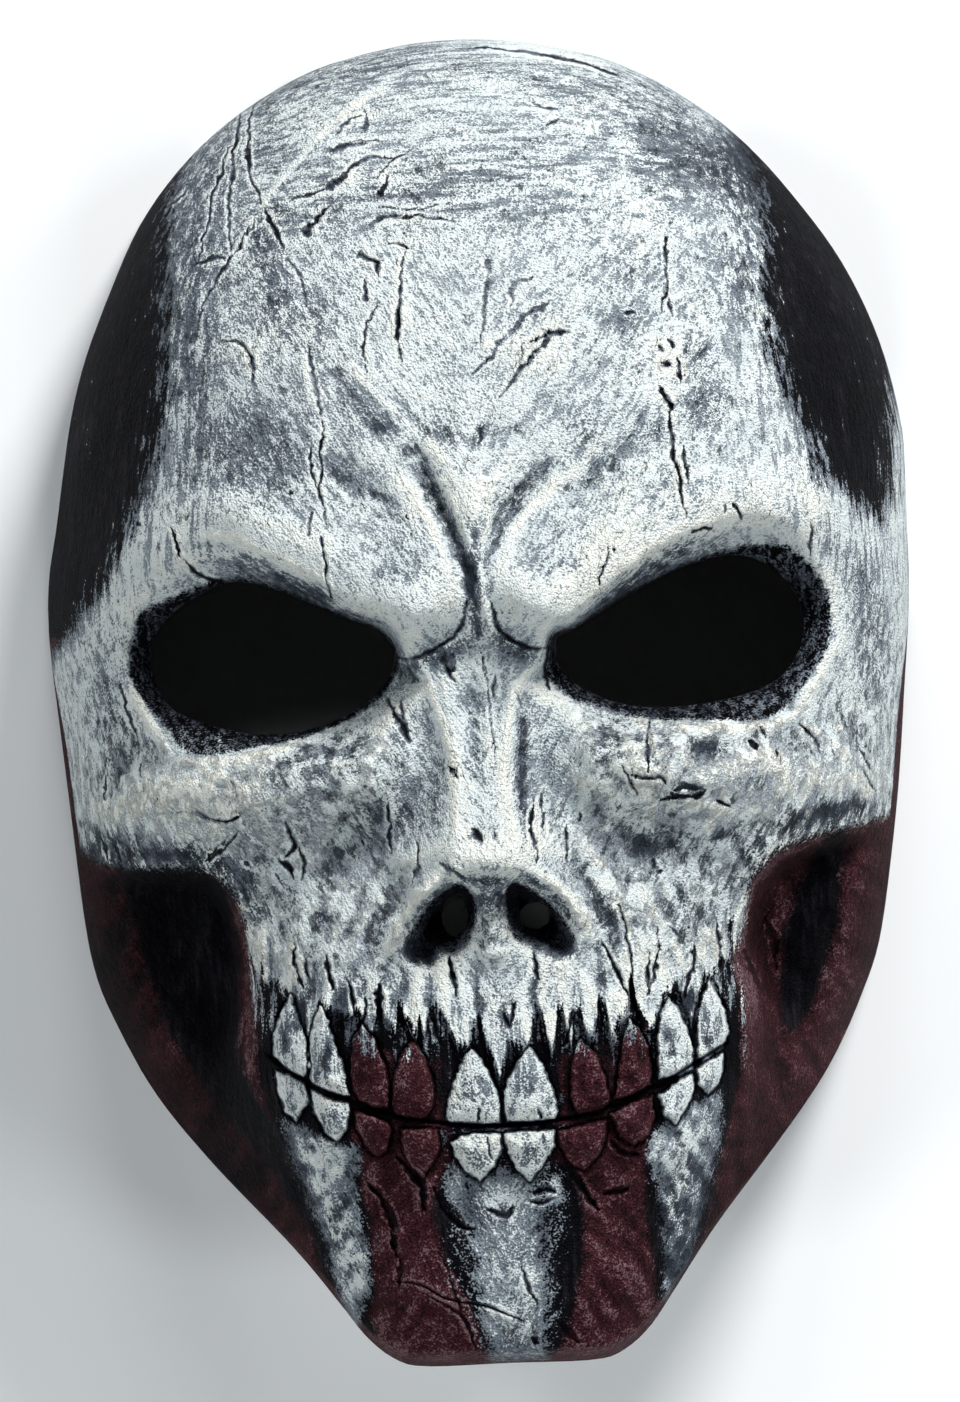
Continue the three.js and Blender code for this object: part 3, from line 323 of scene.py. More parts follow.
# Scratches, cracks and pits in the bone: width, depth and how black the paint in them is, then the route
CRACKS = (
    (0.6, 0.7, 1.0, ((-41.5, 121), (-42.5, 113), (-42.5, 108), (-41, 103), (-40.5, 101))),
    (0.7, 0.7, 1.0, ((-39.6, 99.5), (-38, 96), (-36.4, 92))),
    (0.6, 0.4, 0.5, ((-36, 90), (-33, 86), (-32, 80))),
    (0.8, 0.6, 0.6, ((-32, 72), (-31.3, 66), (-30, 58))),
    (0.5, 0.7, 1.0, ((-30, 58), (-29.9, 54), (-30.5, 50), (-30.2, 47), (-31, 43), (-30.3, 40),
        (-29.6, 36))),
    (0.4, 0.5, 0.9, ((-32.2, 52), (-32.4, 48), (-31.2, 43))),
    (0.9, 0.9, 1.0, ((-30.6, 33.5), (-30.7, 31), (-30.2, 28.5))),
    (0.6, 0.8, 1.0, ((-30.1, 29), (-30.2, 25), (-29.3, 21.5))),
    (0.5, 0.5, 1.0, ((-32.5, 38.5), (-33.5, 34))),
    (0.5, 0.6, 1.0, ((-61.3, 37.5), (-60, 34.5), (-59, 31), (-58, 30))),
    (0.9, 0.8, 1.0, ((-58.5, 30.2), (-56.5, 28), (-54, 26.4), (-51.5, 25.6))),
    (0.5, 0.6, 1.0, ((-18, 80), (-20.5, 75), (-21, 71), (-20.3, 66))),
    (0.6, 0.8, 1.0, ((-11.5, 91), (-13, 84), (-13.5, 79), (-14.2, 76), (-13.7, 68))),
    (0.8, 0.7, 0.9, ((-13.6, 80), (-14, 77), (-14, 74.5))),
    (0.4, 0.4, 0.8, ((-22.5, 112.8), (-19, 113), (-16, 112.6))),
    (0.6, 0.4, 0.8, ((-25, 114), (-22, 117), (-19, 118))),
    (0.5, 0.4, 0.7, ((-24, 105.4), (-22, 108), (-19, 109.2), (-13, 109))),
    (0.4, 0.4, 0.9, ((-17, 105), (-14, 108.5), (-10, 110.5))),
    (0.5, 0.4, 0.8, ((-34, 101.5), (-30, 102.8), (-27, 103))),
    (0.4, 0.4, 0.8, ((-13, 97), (-8, 97.4))),
    (0.35, 0.3, 0.7, ((-17, 99.5), (-10, 98.5), (-3, 99.8))),
    (0.35, 0.3, 0.7, ((-16, 96.5), (-9, 97), (-2, 95.8))),
    (0.5, 0.5, 0.8, ((-16, 92), (-13, 91.5), (-11, 90.5))),
    (0.5, 0.5, 0.8, ((-43.8, 120), (-45, 114), (-46, 110))),
    (0.45, 0.5, 0.8, ((-45.2, 113), (-46, 106), (-46.6, 100), (-47, 92))),
    (0.5, 0.5, 0.9, ((-45, 114.5), (-47.5, 110), (-50, 103), (-52, 95), (-53.5, 90))),
    (0.6, 0.5, 0.9, ((-54, 89.5), (-50, 90.6), (-48, 90.4))),
    (0.4, 0.4, 0.8, ((-41, 99), (-45, 93), (-49, 87), (-52, 82), (-54, 79))),
    (0.4, 0.4, 0.7, ((-60, 100.5), (-57, 102.8), (-55, 104.8))),
    (0.8, 0.6, 0.7, ((-49, 73.5), (-46.5, 73.6), (-44.6, 72), (-43.6, 69), (-43.2, 65))),
    (0.7, 0.8, 1.0, ((2.5, 130.8), (8, 130.6), (12, 130), (18, 128.8), (25, 127), (29, 125.5),
        (32, 124.3))),
    (0.5, 0.4, 0.8, ((15, 119), (17, 118), (20, 117.5))),
    (0.5, 0.4, 0.7, ((17, 114), (20, 115.5))),
    (0.5, 0.6, 0.9, ((16, 72), (13.4, 71.6), (11.2, 70.4), (10.2, 68.4), (9.6, 66.6))),
    (0.8, 0.5, 0.9, ((31, 76.4), (33, 76.2))),
    (0.6, 0.7, 1.0, ((40.4, 91), (39.8, 85), (40, 81), (39, 79), (38.8, 76))),
    (0.5, 0.5, 0.9, ((40, 79), (41, 75))),
    (0.9, 0.8, 1.0, ((37.5, 69.5), (38.8, 68))),
    (0.7, 0.7, 1.0, ((40, 70.3), (41, 68.6))),
    (1.3, 1.0, 1.0, ((38.6, 65.8), (40, 65.2))),
    (1.0, 0.9, 1.0, ((41.8, 66.6), (41.8, 64.4), (42, 62))),
    (0.8, 0.8, 1.0, ((38, 61), (38.5, 59), (40, 57))),
    (1.2, 0.9, 1.0, ((39, 57.8), (40, 56.4))),
    (0.7, 0.8, 1.0, ((40, 57), (39.5, 55), (40, 50), (40, 47), (40.7, 44), (41, 40), (42.2, 35))),
    (0.7, 0.6, 1.0, ((42, 49), (42.4, 45), (42.5, 41.5))),
    (0.4, 0.4, 0.9, ((26.3, 29.5), (26, 27), (24.7, 24), (23.7, 21))),
    (0.9, 0.6, 1.0, ((27.2, 28.8), (28.2, 28.4))),
    (0.6, 0.5, 0.9, ((66.9, 33), (66.7, 29.5), (66.8, 26))),
    (0.7, 0.5, 1.0, ((43, 31.6), (45, 32.2), (47, 32.4))),
    (0.7, 0.5, 1.0, ((49.8, 37), (49.9, 35))),
    (0.8, 0.5, 1.0, ((51.6, 37), (52.3, 35.6), (53, 34))),
    (1.0, 0.5, 1.0, ((-37.2, 43), (-36.4, 42.8))),
    (1.0, 0.5, 1.0, ((-67.6, 38.2), (-67.2, 37.6))),
    (3.6, 1.0, 0.8, ((-7.6, 8.6), (-5.6, 5.8))),
    (0.9, 0.5, 0.9, ((-7.2, 7.5), (-6.4, 5.6), (-5.6, 4))),
    (0.7, 0.5, 0.8, ((2.5, 5), (2.5, 2.6), (2.3, 0.3))),
    (0.4, 0.4, 0.6, ((0.2, 11), (0.7, 6), (1.3, 1), (1.8, -6), (2, -14))),
    (1.8, 0.8, 1.0, ((-6.8, -13.4), (-5.7, -15.2))),
    (2.8, 1.1, 1.0, ((-2.6, -25.8), (-1.6, -27.8))),
    (0.8, 0.5, 0.9, ((1, -26), (1.2, -27.8))),
    (1.7, 1.0, 1.0, ((-18.5, 0.6), (-17.6, -2.4), (-16, -5), (-14.8, -7.6))),
    (1.0, 0.8, 1.0, ((-16.2, 0), (-16, -3))),
    (0.6, 0.9, 1.0, ((9.4, -19.6), (8.9, -23), (8.7, -26), (9.2, -29), (9.4, -33))),
    (0.6, 0.8, 1.0, ((10.6, -19), (11, -23), (11, -28))),
    (0.7, 0.6, 1.0, ((10.6, -34.6), (11.4, -34.6))),
    (0.5, 0.5, 0.9, ((16, -25.5), (15.7, -29), (15.7, -33))),
    (0.6, 0.5, 0.9, ((18.4, -23), (17.8, -24.8))),
    (0.6, 0.5, 0.9, ((-19.8, -18.5), (-19.6, -24), (-19.3, -30))),
    (0.6, 0.6, 0.9, ((-14, -28), (-14.3, -33), (-15.4, -35.8))),
    (1.0, 0.7, 0.8, ((-10, -32), (-7, -33.8), (-5, -35.4))),
    (0.5, 0.4, 0.8, ((-25.6, -26.6), (-25, -28))),
    (0.8, 0.7, 1.0, ((32.8, -5.5), (32.5, -9), (32.3, -12), (32.4, -16))),
    (0.8, 0.7, 1.0, ((55, -7.5), (56, -10))),
    (1.1, 0.9, 1.0, ((52.6, -10.2), (53.4, -11.2), (54.4, -12.4))),
    (0.9, 0.7, 0.9, ((63, -7.4), (65.5, -10), (67, -13.4))),
    (0.8, 0.6, 0.8, ((69, -10.4), (70, -14))),
    (0.6, 0.5, 0.7, ((75.2, -13), (77, -17))),
    (0.6, 0.5, 0.7, ((75.6, -17), (78, -21.6))),
    (0.6, 0.5, 0.9, ((57.8, -12.4), (58.4, -13.8))),
    (0.7, 0.6, 0.9, ((27, -14), (28.6, -16.6), (30, -20))),
    (0.8, 0.6, 0.9, ((28.4, -16), (31, -16.8), (35, -17), (36, -18.4))),
    (0.9, 0.8, 1.0, ((35, -21.6), (38, -20.8), (41, -21), (44, -20))),
    (1.6, 0.6, 0.6, ((37.6, -19.6), (41, -19.2), (44, -19.8))),
    (0.9, 0.6, 0.9, ((46, -22), (48, -23))),
    (1.1, 0.5, 0.8, ((32.4, -33), (32.6, -34.6))),
    (0.6, 0.4, 1.0, ((33.4, -35.6), (34.6, -35.6))),
    (0.5, 0.4, 0.8, ((35.4, -46.6), (37, -48.6))),
    (1.0, 0.9, 1.0, ((-40.4, -22.8), (-39.2, -25.6), (-38.6, -28), (-40.6, -29.6))),
    (1.2, 1.0, 1.0, ((-41.8, -30.6), (-39.8, -31.8), (-39.2, -34))),
    (0.8, 0.8, 1.0, ((-37.6, -28), (-37.1, -31), (-37.5, -34.6))),
    (0.8, 0.8, 0.9, ((-62, -20), (-58, -20), (-55.6, -21.5), (-52, -22), (-49, -20.6))),
    (0.6, 0.7, 0.8, ((-50, -24), (-53, -27.4), (-56, -30))),
    (0.5, 0.6, 0.8, ((-52, -25), (-54.6, -28), (-57, -30))),
    (0.6, 0.6, 0.9, ((-77, -25), (-76.5, -29))),
    (0.6, 0.6, 0.9, ((-75, -26), (-73.6, -29.4))),
    (0.6, 0.5, 0.8, ((-76, -12), (-76.5, -17))),
    (0.6, 0.5, 0.8, ((-69, -10), (-68.5, -16))),
    (1.0, 0.6, 0.8, ((-50.6, -14.4), (-49.6, -17.4))),
    (0.9, 0.6, 0.8, ((-57.4, -14.6), (-56.8, -15.4))),
    (0.9, 0.6, 0.8, ((-48.4, -30.6), (-47.6, -31.4))),
    (0.6, 0.5, 0.9, ((-72, 6), (-71.4, 1), (-69.6, -4))),
    (0.8, 0.8, 1.0, ((13.6, 9.8), (12.6, 4.5), (13.2, 1.6))),
    (0.4, 0.4, 0.8, ((6.2, 2), (7.4, -0.4), (7.3, -2))),
)

# Cuts that start wide and run out to a point
LEAVES = (
    (2.4, 0.6, 0.55, ((4.8, 88), (4.6, 85.6), (4.2, 84))),
    (1.5, 0.6, 0.6, ((4.9, 84), (4.2, 82), (3.4, 78), (2.6, 69))),
    (2.2, 0.5, 0.55, ((10, 83.2), (9.4, 81.6), (8.2, 78))),
    (1.2, 0.4, 0.6, ((10.4, 82.8), (12, 83.2), (14, 84.2))),
    (1.8, 0.7, 0.5, ((12.6, 77), (9.6, 74.4), (6, 70.4), (0.8, 64.8))),
    (2.0, 0.6, 0.55, ((12.4, 76.8), (14, 77.6), (16.4, 78.8))),
    (2.0, 0.9, 0.75, ((16.4, 72), (13.6, 69.4), (10.4, 65.6), (5.6, 59.8))),
    (1.6, 0.7, 0.75, ((16, 72.4), (18, 72.8), (20, 72.8))),
    (1.4, 0.5, 0.6, ((1.4, 54.4), (1.6, 52.6), (1.2, 51))),
    (1.8, 0.7, 0.9, ((-26.6, 103.2), (-24.4, 105.4), (-21.4, 108.4))),
    (1.4, 0.6, 0.8, ((-26.4, 111), (-22, 112), (-16.6, 112.8))),
    (1.7, 0.7, 0.9, ((-32.4, 94.4), (-30, 96.4), (-26.4, 99.8))),
    (1.8, 0.6, 0.85, ((-19, 95.4), (-16.6, 97), (-12, 97.4))),
    (1.4, 0.7, 0.9, ((-16.6, 101.4), (-15.6, 103.2), (-14.6, 105.6))),
    (1.5, 0.7, 0.9, ((-21.4, 90.2), (-19.6, 89), (-17, 88))),
    (1.3, 0.7, 0.9, ((-17.4, 88.6), (-17.6, 86.8), (-17.2, 84.6))),
    (1.3, 0.7, 0.9, ((-20.4, 80.6), (-20.2, 83), (-20, 85.6))),
    (1.2, 0.5, 0.7, ((-19.4, 115), (-18.4, 117), (-18.8, 119))),
)

# Dark gaps that run up into the upper jaw from the teeth, and folds below the lower ones
JAW_GAPS = (
    (0.8, 1.2, 1.0, ((-39.5, -47), (-39.4, -52), (-38, -56))),
    (0.6, 1.0, 1.0, ((-37.5, -50), (-37, -54))),
    (0.8, 1.2, 1.0, ((-33.4, -49.6), (-33, -53), (-32.4, -56.4))),
    (0.8, 1.2, 1.0, ((-29, -55), (-28.4, -58), (-28, -62))),
    (1.3, 1.6, 1.0, ((-22.7, -56), (-23, -59.4), (-23.2, -62.6))),
    (0.9, 1.2, 1.0, ((-19, -60.4), (-18.8, -64))),
    (1.0, 1.2, 1.0, ((-12.4, -61.6), (-12, -65), (-11.4, -68))),
    (0.8, 1.2, 1.0, ((-3.2, -63.4), (-3.6, -66.6))),
    (1.1, 1.6, 1.0, ((-8.6, -51), (-8.1, -55), (-7.6, -58.8))),
    (0.7, 0.9, 0.8, ((8, -50.8), (8.3, -53.4), (8.5, -56))),
    (1.0, 1.1, 0.9, ((1.6, -62.6), (2.6, -65), (4, -60.6))),
    (0.6, 1.1, 1.0, ((25.4, -42), (26.4, -46), (27, -50), (27.4, -56), (27.3, -62))),
    (0.8, 1.2, 1.0, ((21.6, -49.4), (24, -54), (26.6, -60))),
    (0.7, 1.1, 1.0, ((31.2, -51.6), (30.7, -56), (30.4, -60))),
    (0.5, 0.8, 0.9, ((33, -47), (32.4, -54), (30.4, -60))),
    (0.8, 1.2, 1.0, ((40, -50.6), (39.6, -55), (37.6, -61))),
    (0.8, 1.1, 1.0, ((45, -46.6), (45, -51), (44.8, -55))),
    (0.9, 1.1, 1.0, ((42.4, -57), (44.6, -60.4), (46, -64))),
    (0.9, 1.1, 1.0, ((15.4, -62.4), (14.6, -66), (13, -70))),
    (0.9, 1.1, 1.0, ((20.4, -60), (21, -63.4), (20.6, -67))),
    (0.8, 1.0, 0.9, ((-25.8, -58.6), (-26.4, -62), (-27.4, -65.6))),
    (0.7, 0.8, 0.9, ((-4.3, -81), (-4.1, -83.8))),
    (0.7, 0.8, 0.9, ((7.7, -81.4), (7.9, -83.8))),
    (0.5, 0.6, 0.8, ((-2.8, -87), (-2.4, -91.2))),
    (0.5, 0.6, 0.8, ((8.4, -86.8), (8.7, -89))),
)
CHIN_FOLDS = (
    (1.6, 1.7, 1.0, ((-20.4, -90.6), (-18, -93.4), (-16, -96), (-15.8, -101))),
    (1.5, 1.6, 1.0, ((14, -94.6), (15.6, -97), (17, -99.4), (18.8, -102.4))),
    (1.4, 1.4, 1.0, ((20.4, -99.4), (22.6, -98.8), (24.6, -98.4))),
    (1.4, 1.3, 1.0, ((22, -88.6), (24, -91), (27, -91.6))),
    (1.5, 1.3, 0.9, ((-27, -95), (-24.4, -98), (-22.4, -103), (-21.6, -110))),
    (1.1, 1.0, 0.9, ((-13.4, -97), (-12, -101), (-8.4, -104.6), (-5.6, -105.4))),
    (1.2, 0.9, 0.8, ((-20.8, -111), (-21.6, -116))),
    (1.3, 1.0, 1.0, ((6.4, -98.6), (8.6, -97.8), (10.4, -98.4))),
    (0.6, 0.7, 0.9, ((5, -100), (7.6, -100.6), (10.6, -100))),
    (0.4, 0.5, 0.9, ((10.4, -101), (10, -105), (10, -111))),
    (1.0, 0.7, 0.8, ((-3, -101.6), (0, -102.6), (2.4, -101.4))),
    (0.5, 0.6, 1.0, ((-23, -115), (-17, -116), (-12, -119), (-5, -120.5), (3, -124))),
    (0.5, 0.6, 1.0, ((-16, -118), (-11, -121), (-8, -124), (-7, -128))),
    (0.5, 0.5, 1.0, ((-13, -110), (-11, -115), (-9.4, -121), (-7.4, -127), (-6, -130))),
    (1.4, 0.8, 1.0, ((9.6, -124), (11.6, -126), (13.6, -128.6))),
    (1.3, 1.0, 1.0, ((5, -127.8), (6, -128.6))),
    (0.6, 0.5, 0.8, ((3, -113), (4.4, -117), (6, -121))),
    (1.5, 1.2, 0.9, ((55, -46), (56.2, -51), (56, -56))),
    (0.9, 0.9, 0.8, ((50, -52), (51.6, -56), (53, -60))),
    (1.0, 1.0, 0.8, ((-50, -62), (-51, -68), (-50, -74))),
    (1.0, 0.8, 0.7, ((-49.4, -48), (-51.6, -52), (-52, -58))),
)

# Patches where the dark ground shows through the bone paint, and patches of painted shade in hollows, under
# the cheekbones and over the lower left side; below 0 they are painted highlight: x, y, reach across and
# along, turn, how much
GREYS_SHADES_AND_HIGHLIGHTS = (
    (-47, 112, 16, 12, 40, 0.24), (-20, 128, 26, 5, 10, 0.28), (20, 124, 24, 4.5, -8, 0.2),
    (44, 108, 14, 9, -40, 0.36), (-54, 88, 8, 20, 0, 0.26), (-57, 66, 5, 20, 0, 0.24),
    (-38, 81, 3.6, 9, 0, 0.34), (-43, 54, 12, 8, 0, 0.3), (-40, 47, 14, 4, 0, 0.14),
    (-50, 80, 22, 40, 0, 0.1), (-16, 27, 5, 7, 30, 0.22), (15, 26, 6, 6, -30, 0.2),
    (-27, 44, 3, 8, 42, 0.1), (-10, 43, 2.4, 9, 28, 0.1), (-4, 31, 2.6, 7, 12, 0.08),
    (-6, 54, 3.4, 4.6, 30, 0.3), (-22, 58, 3.4, 7, 40, 0.16), (25, 47, 3, 6, -46, 0.06),
    (5.4, 40, 2.6, 5, -34, 0.1), (22.5, 53, 3, 4, -40, 0.4), (47, 58, 3.6, 5, 0, 0.42),
    (46, 68, 3, 2, 0, 0.36), (36, 53, 5, 3.4, 0, 0.3), (31, 75, 5, 3, 0, 0.3), (53, 82, 5, 12, 0, 0.22),
    (1.5, 53, 1.6, 2.2, -30, 0.4), (12, 76.6, 3.4, 1.8, 30, 0.3), (40, 40, 8, 4, 0, 0.2),
    (-48, 38, 12, 4, 8, 0.12), (33, 86, 8, 4, 0, 0.2), (-30, 78, 4, 5, 0, 0.24), (5, 112, 46, 14, 0, 0.14),
    (40, 78, 16, 26, 0, 0.07), (-74, 8, 8, 20, 0, 0.2), (5, 104, 14, 5, 0, 0.16), (14, 96, 16, 4, 0, 0.18),
    (-28, 100, 8, 6, 30, 0.22), (-12, 100, 10, 6, 0, 0.2), (-40, 94, 4, 8, -20, 0.24),
    (-0.6, 15, 2.4, 5, 0, 0.2), (4.6, 4.6, 2.6, 4, 0, 0.16), (-35, -14.6, 6, 6, 0, 0.44),
    (-45, -13, 8, 3.4, 0, 0.2), (-27, -9, 5, 5, 0, 0.3), (-22, -20, 5, 8, 0, 0.2), (-66, -9, 5, 6, 20, 0.2),
    (-75, -6, 3, 12, 0, 0.2), (-44, -26, 6, 4, 0, 0.2), (-36, -42, 6, 8, 0, 0.14), (23, -11, 4, 6, 0, 0.4),
    (40, -9.8, 9, 1.8, 0, 0.3), (46, -12, 4, 1.6, 0, 0.45), (53, -18.6, 3.4, 2.6, 0, 0.56),
    (40, -20, 5, 1.6, 0, 0.44), (48, -28.6, 7, 2.4, 8, 0.4), (26, -26, 3, 3, 0, 0.3),
    (33, -30, 3, 2.4, 0, 0.3), (74, -8, 4, 7, 10, 0.24), (78, 4, 3, 10, 0, 0.2), (70, 30, 4, 8, 20, 0.2),
    (76, 22, 4, 8, 0, 0.2), (40, -46, 4, 8, 0, 0.16), (36, -56, 5, 4, 0, 0.2), (23, -47, 3, 8, 0, 0.2),
    (-25, -57, 5, 4, 0, 0.16), (-36, -55, 6, 4, 0, 0.2), (-11, -59, 5, 4, 0, 0.08),
    (10, -58, 4, 5, 0, 0.12), (0, -57, 16, 7, 0, 0.1), (-0.4, -44, 3, 6, 0, 0.36), (1, -39, 4, 2.6, 0, 0.4),
    (1.8, -63.6, 2, 2.4, 0, 0.6), (-38.4, -62, 1.6, 4, 0, 0.7), (38.4, -61.6, 1.6, 4.4, 0, 0.6),
    (-31, -62, 2, 5, 0, 0.5), (0, -77, 46, 10, 0, 0.13), (36, -44, 10, 8, 0, 0.08),
    (-42.4, -66, 1.2, 4, 0, 0.4), (-34, -70, 1.5, 5, -20, 0.4), (-35, -83, 2.2, 3, -20, 0.3),
    (-6, -78, 2, 3.4, 0, 0.2), (6, -76, 2, 3.4, 0, 0.2), (-4, -91, 3, 2.4, 0, 0.2),
    (6, -91, 2.6, 3, 0, 0.25), (35.6, -69, 1.6, 5, 0, 0.2), (43.6, -66, 1.2, 4, 0, 0.3),
    (-60, 34, 6, 8, 0, 0.12), (-66, 44, 3, 10, -12, 0.26), (67, 46, 3, 10, 12, 0.24),
    (0, -110, 7, 5, 0, 0.1), (-6.6, -101, 3, 5, 0, 0.3), (8, -106, 2.6, 8, 0, 0.3),
    (0, -112, 9, 22, 0, 0.18), (4, -124, 5, 5, 0, 0.2), (0, -129, 8, 2.4, 0, 0.3),
    (-34, -106, 6, 12, 0, 0.26), (-31, -121, 3, 3, 0, 0.3), (36, -104, 7, 14, 0, 0.46),
    (33, -115, 3, 4, 0, 0.3), (-1, -102.4, 4, 1.6, 0, 0.3), (57, 106, 6, 9, 0, 0.5),
    # from (-76, -52) on: painted shade beside the jaw, heavier on the left than on the right, and painted
    # highlight on the cheeks
    (59, 84, 4, 16, 0, 0.34), (63, 62, 3, 8, 0, 0.3), (-76, -52, 9, 26, 0, 0.8),
    (-56, -92, 14, 16, 30, 0.8), (80, -52, 7, 20, 0, 0.4), (54, -92, 12, 16, -30, 0.35),
    (-62, -16, 14, 7, 0, -0.42), (56, -21, 14, 6, 0, -0.08), (0, -32, 8, 3, 0, 0.2),
    (79, 12, 5, 16, 0, 0.2),
)

# Dark places with a few flecks of bone paint: x, y, reach across and along, turn, how many
FLECKS = (
    (-25.6, -66.4, 1.6, 3, -20, 1.4), (-14.6, -70, 1.4, 3.6, 20, 1.3), (26.6, -66.6, 1.4, 2.4, 0, 1.6),
    (17, -69.6, 1.2, 2, 0, 1.2), (12.6, -87, 1.6, 1.6, 0, 1.5), (-11.4, -87, 1.2, 2.4, 0, 1.4),
    (12.4, -80, 1.2, 2, 0, 1.2), (-11.8, -66, 1.6, 4, 0, 1.2), (-22, -62, 1.4, 2.4, 0, 1.0),
    (-46.6, -60, 2, 4, 0, 1.1), (47, -61, 2, 4, 0, 0.9), (10.8, -98.6, 2, 2.6, 0, 1.8),
    (-10, -97, 3, 4, 0, 1.2), (12, -104, 3, 8, 0, 0.9), (-28, -90, 2, 4, 0, 1.2), (30, -91, 2, 4, 0, 1.2),
    (-11, -112, 3, 12, 0, 0.8), (-48, -50, 2, 8, 0, 1.1), (50, -46, 2, 8, 0, 1.0),
    (22.4, -68, 2, 1.6, 0, 0.9), (0, -85.6, 12, 0.8, 0, 1.6),
)

# Outlines of the painted areas
TEMPLE_LEFT = (
    (-55, 114), (-59, 103), (-60.7, 82.5), (-61, 62.5), (-64.7, 48.6), (-70.2, 36.8), (-74.6, 27),
    (-79.9, 19.2), (-90, 8), (-125, 8), (-125, 125),
)
TEMPLE_RIGHT = (
    (54, 120), (58, 107.8), (60.5, 98), (60.5, 90), (59.7, 84), (59.7, 78), (61.5, 66), (64.5, 60),
    (66.5, 54), (69, 48), (70, 43), (74, 39), (80.8, 33.2), (83.4, 38), (84.6, 52), (86, 66), (125, 70),
    (125, 130),
)
EYE_BAND_LEFT = (
    (-67, 20.3), (-68.5, 17), (-70, 12), (-70, 7), (-67, 1.5), (-62.5, -4), (-60, -7.5), (-55, -8.7),
    (-45, -7.3), (-35, -5.7), (-25, -1.7), (-19, 3), (-16.6, 9.8), (-19.8, 14.8), (-28, 18.2), (-40, 24),
    (-50, 26.2), (-59, 23.4),
)
EYE_BAND_RIGHT = (
    (14, 12), (13, 8), (13.4, 4), (18, -0.3), (24, -2.5), (33, -4.9), (48, -5.8), (56, -5.8), (61, -3),
    (65.5, 2), (69, 7.5), (70, 14), (68.5, 21), (62.5, 27.6), (56, 28.6), (50, 27.8), (40, 25), (28, 19.2),
    (19, 14),
)
STRIPE_LEFT = (
    (-43.6, -82), (-42.6, -87), (-40, -95), (-36.5, -105), (-35, -111), (-33.5, -118), (-30.5, -125),
    (-27, -116), (-27.4, -108), (-29, -100), (-29.4, -94), (-29.6, -88), (-33, -86.6),
)
STRIPE_RIGHT = (
    (32, -86.6), (30.4, -92), (30.6, -97), (31, -104), (31.8, -111), (31.6, -121), (36.4, -114),
    (39.4, -106), (41.2, -100), (42.4, -95), (44.4, -88), (44.4, -80), (39, -82),
)
STRIPE_MIDDLE = (
    (-9.4, -93), (-8, -99), (-7, -108), (-6.4, -116), (-5.6, -124), (-3.4, -132), (6.6, -132), (8.6, -124),
    (8.6, -114), (8, -104), (7.6, -98), (9, -93),
)
RED_JAW = (
    (-31, -66), (-31, -80), (-29, -92), (-27, -100), (-26, -110), (-27, -122), (-24, -138), (24, -138),
    (30, -122), (29, -110), (28, -100), (29, -90), (31, -80), (31, -66), (11, -70), (11, -92), (-10, -92),
    (-10, -70),
)
BLACK_MIDDLE = (
    (-12, -93), (-14, -100), (-12.6, -110), (-9, -118), (-6, -124), (-3, -134), (8, -134), (13, -124),
    (15.6, -112), (16.4, -102), (14, -93),
)
BLACK_BAND_LEFT = (
    (-74.4, -30), (-70.6, -49), (-65.3, -65), (-55.8, -80), (-46.3, -92), (-38.8, -104.5), (-37, -100),
    (-42, -88), (-51.4, -70), (-50.6, -50), (-52, -34), (-60, -28),
)
BLACK_BAND_RIGHT = (
    (67, -30), (62, -38.5), (58.5, -48), (57, -58), (57.6, -70), (60.7, -68.5), (64, -63), (67.3, -55),
    (69.6, -47), (70.5, -39), (72, -28),
)


# Curves and blends

def ramp(t):
    """From 0 at t = 0 to 1 at t = 1, smoothly."""
    t = np.clip(t, 0, 1)
    return t * t * (3 - 2 * t)


def between_ends(place, share):
    """1 along a line, fading out over a share of it at each end."""
    return ramp(place / share) * ramp((1 - place) / share)


def ridge(distance, width):
    """A bump of height 1 across a line."""
    return np.exp(-(distance / width) ** 2)


def lower(a, b, k):
    """The lower of two heights, blended over k."""
    h = np.clip(0.5 + 0.5 * (b - a) / k, 0, 1)
    return b + (a - b) * h - k * h * (1 - h)


def higher(a, b, k):
    return -lower(-a, -b, k)


def spline(points, closed=False, steps=4):
    """A smooth curve through points of the plane."""
    p = np.asarray(points, float)
    if closed:
        q = np.vstack([p[-1:], p, p[:2]])
    else:
        q = np.vstack([2 * p[0] - p[1], p, 2 * p[-1] - p[-2]])
    curve = []
    for a, b, c, d in zip(q, q[1:], q[2:], q[3:]):
        for t in np.arange(steps) / steps:
            curve.append(0.5 * (2 * b + (c - a) * t + (2 * a - 5 * b + 4 * c - d) * t ** 2
                                + (3 * b - a - 3 * c + d) * t ** 3))
    if not closed:
        curve.append(p[-1])
    return np.array(curve)


def profile(v, table):
    """A smooth function through a table of (place, value)."""
    curve = spline(sorted(table), steps=6)
    return np.interp(v, curve[:, 0], curve[:, 1])


def along(x, y, line):
    """Distance to a line, below zero to the right of its direction, and from 0 to 1 how far along it."""
    line = np.asarray(line, float)
    lengths = np.hypot(*np.diff(line, axis=0).T)
    starts = np.r_[0, np.cumsum(lengths)]
    nearest = np.full(np.shape(x), np.inf)
    place = np.zeros(np.shape(x))
    side = np.ones(np.shape(x))
    for (ax, ay), (bx, by), start, length in zip(line, line[1:], starts, lengths):
        dx, dy = bx - ax, by - ay
        t = np.clip(((x - ax) * dx + (y - ay) * dy) / (length ** 2 + 1e-12), 0, 1)
        square = (x - ax - t * dx) ** 2 + (y - ay - t * dy) ** 2
        closer = square < nearest
        nearest = np.where(closer, square, nearest)
        place = np.where(closer, (start + t * length) / starts[-1], place)
        side = np.where(closer, np.where(dx * (y - ay) > dy * (x - ax), 1, -1), side)
    return np.sqrt(nearest) * side, place


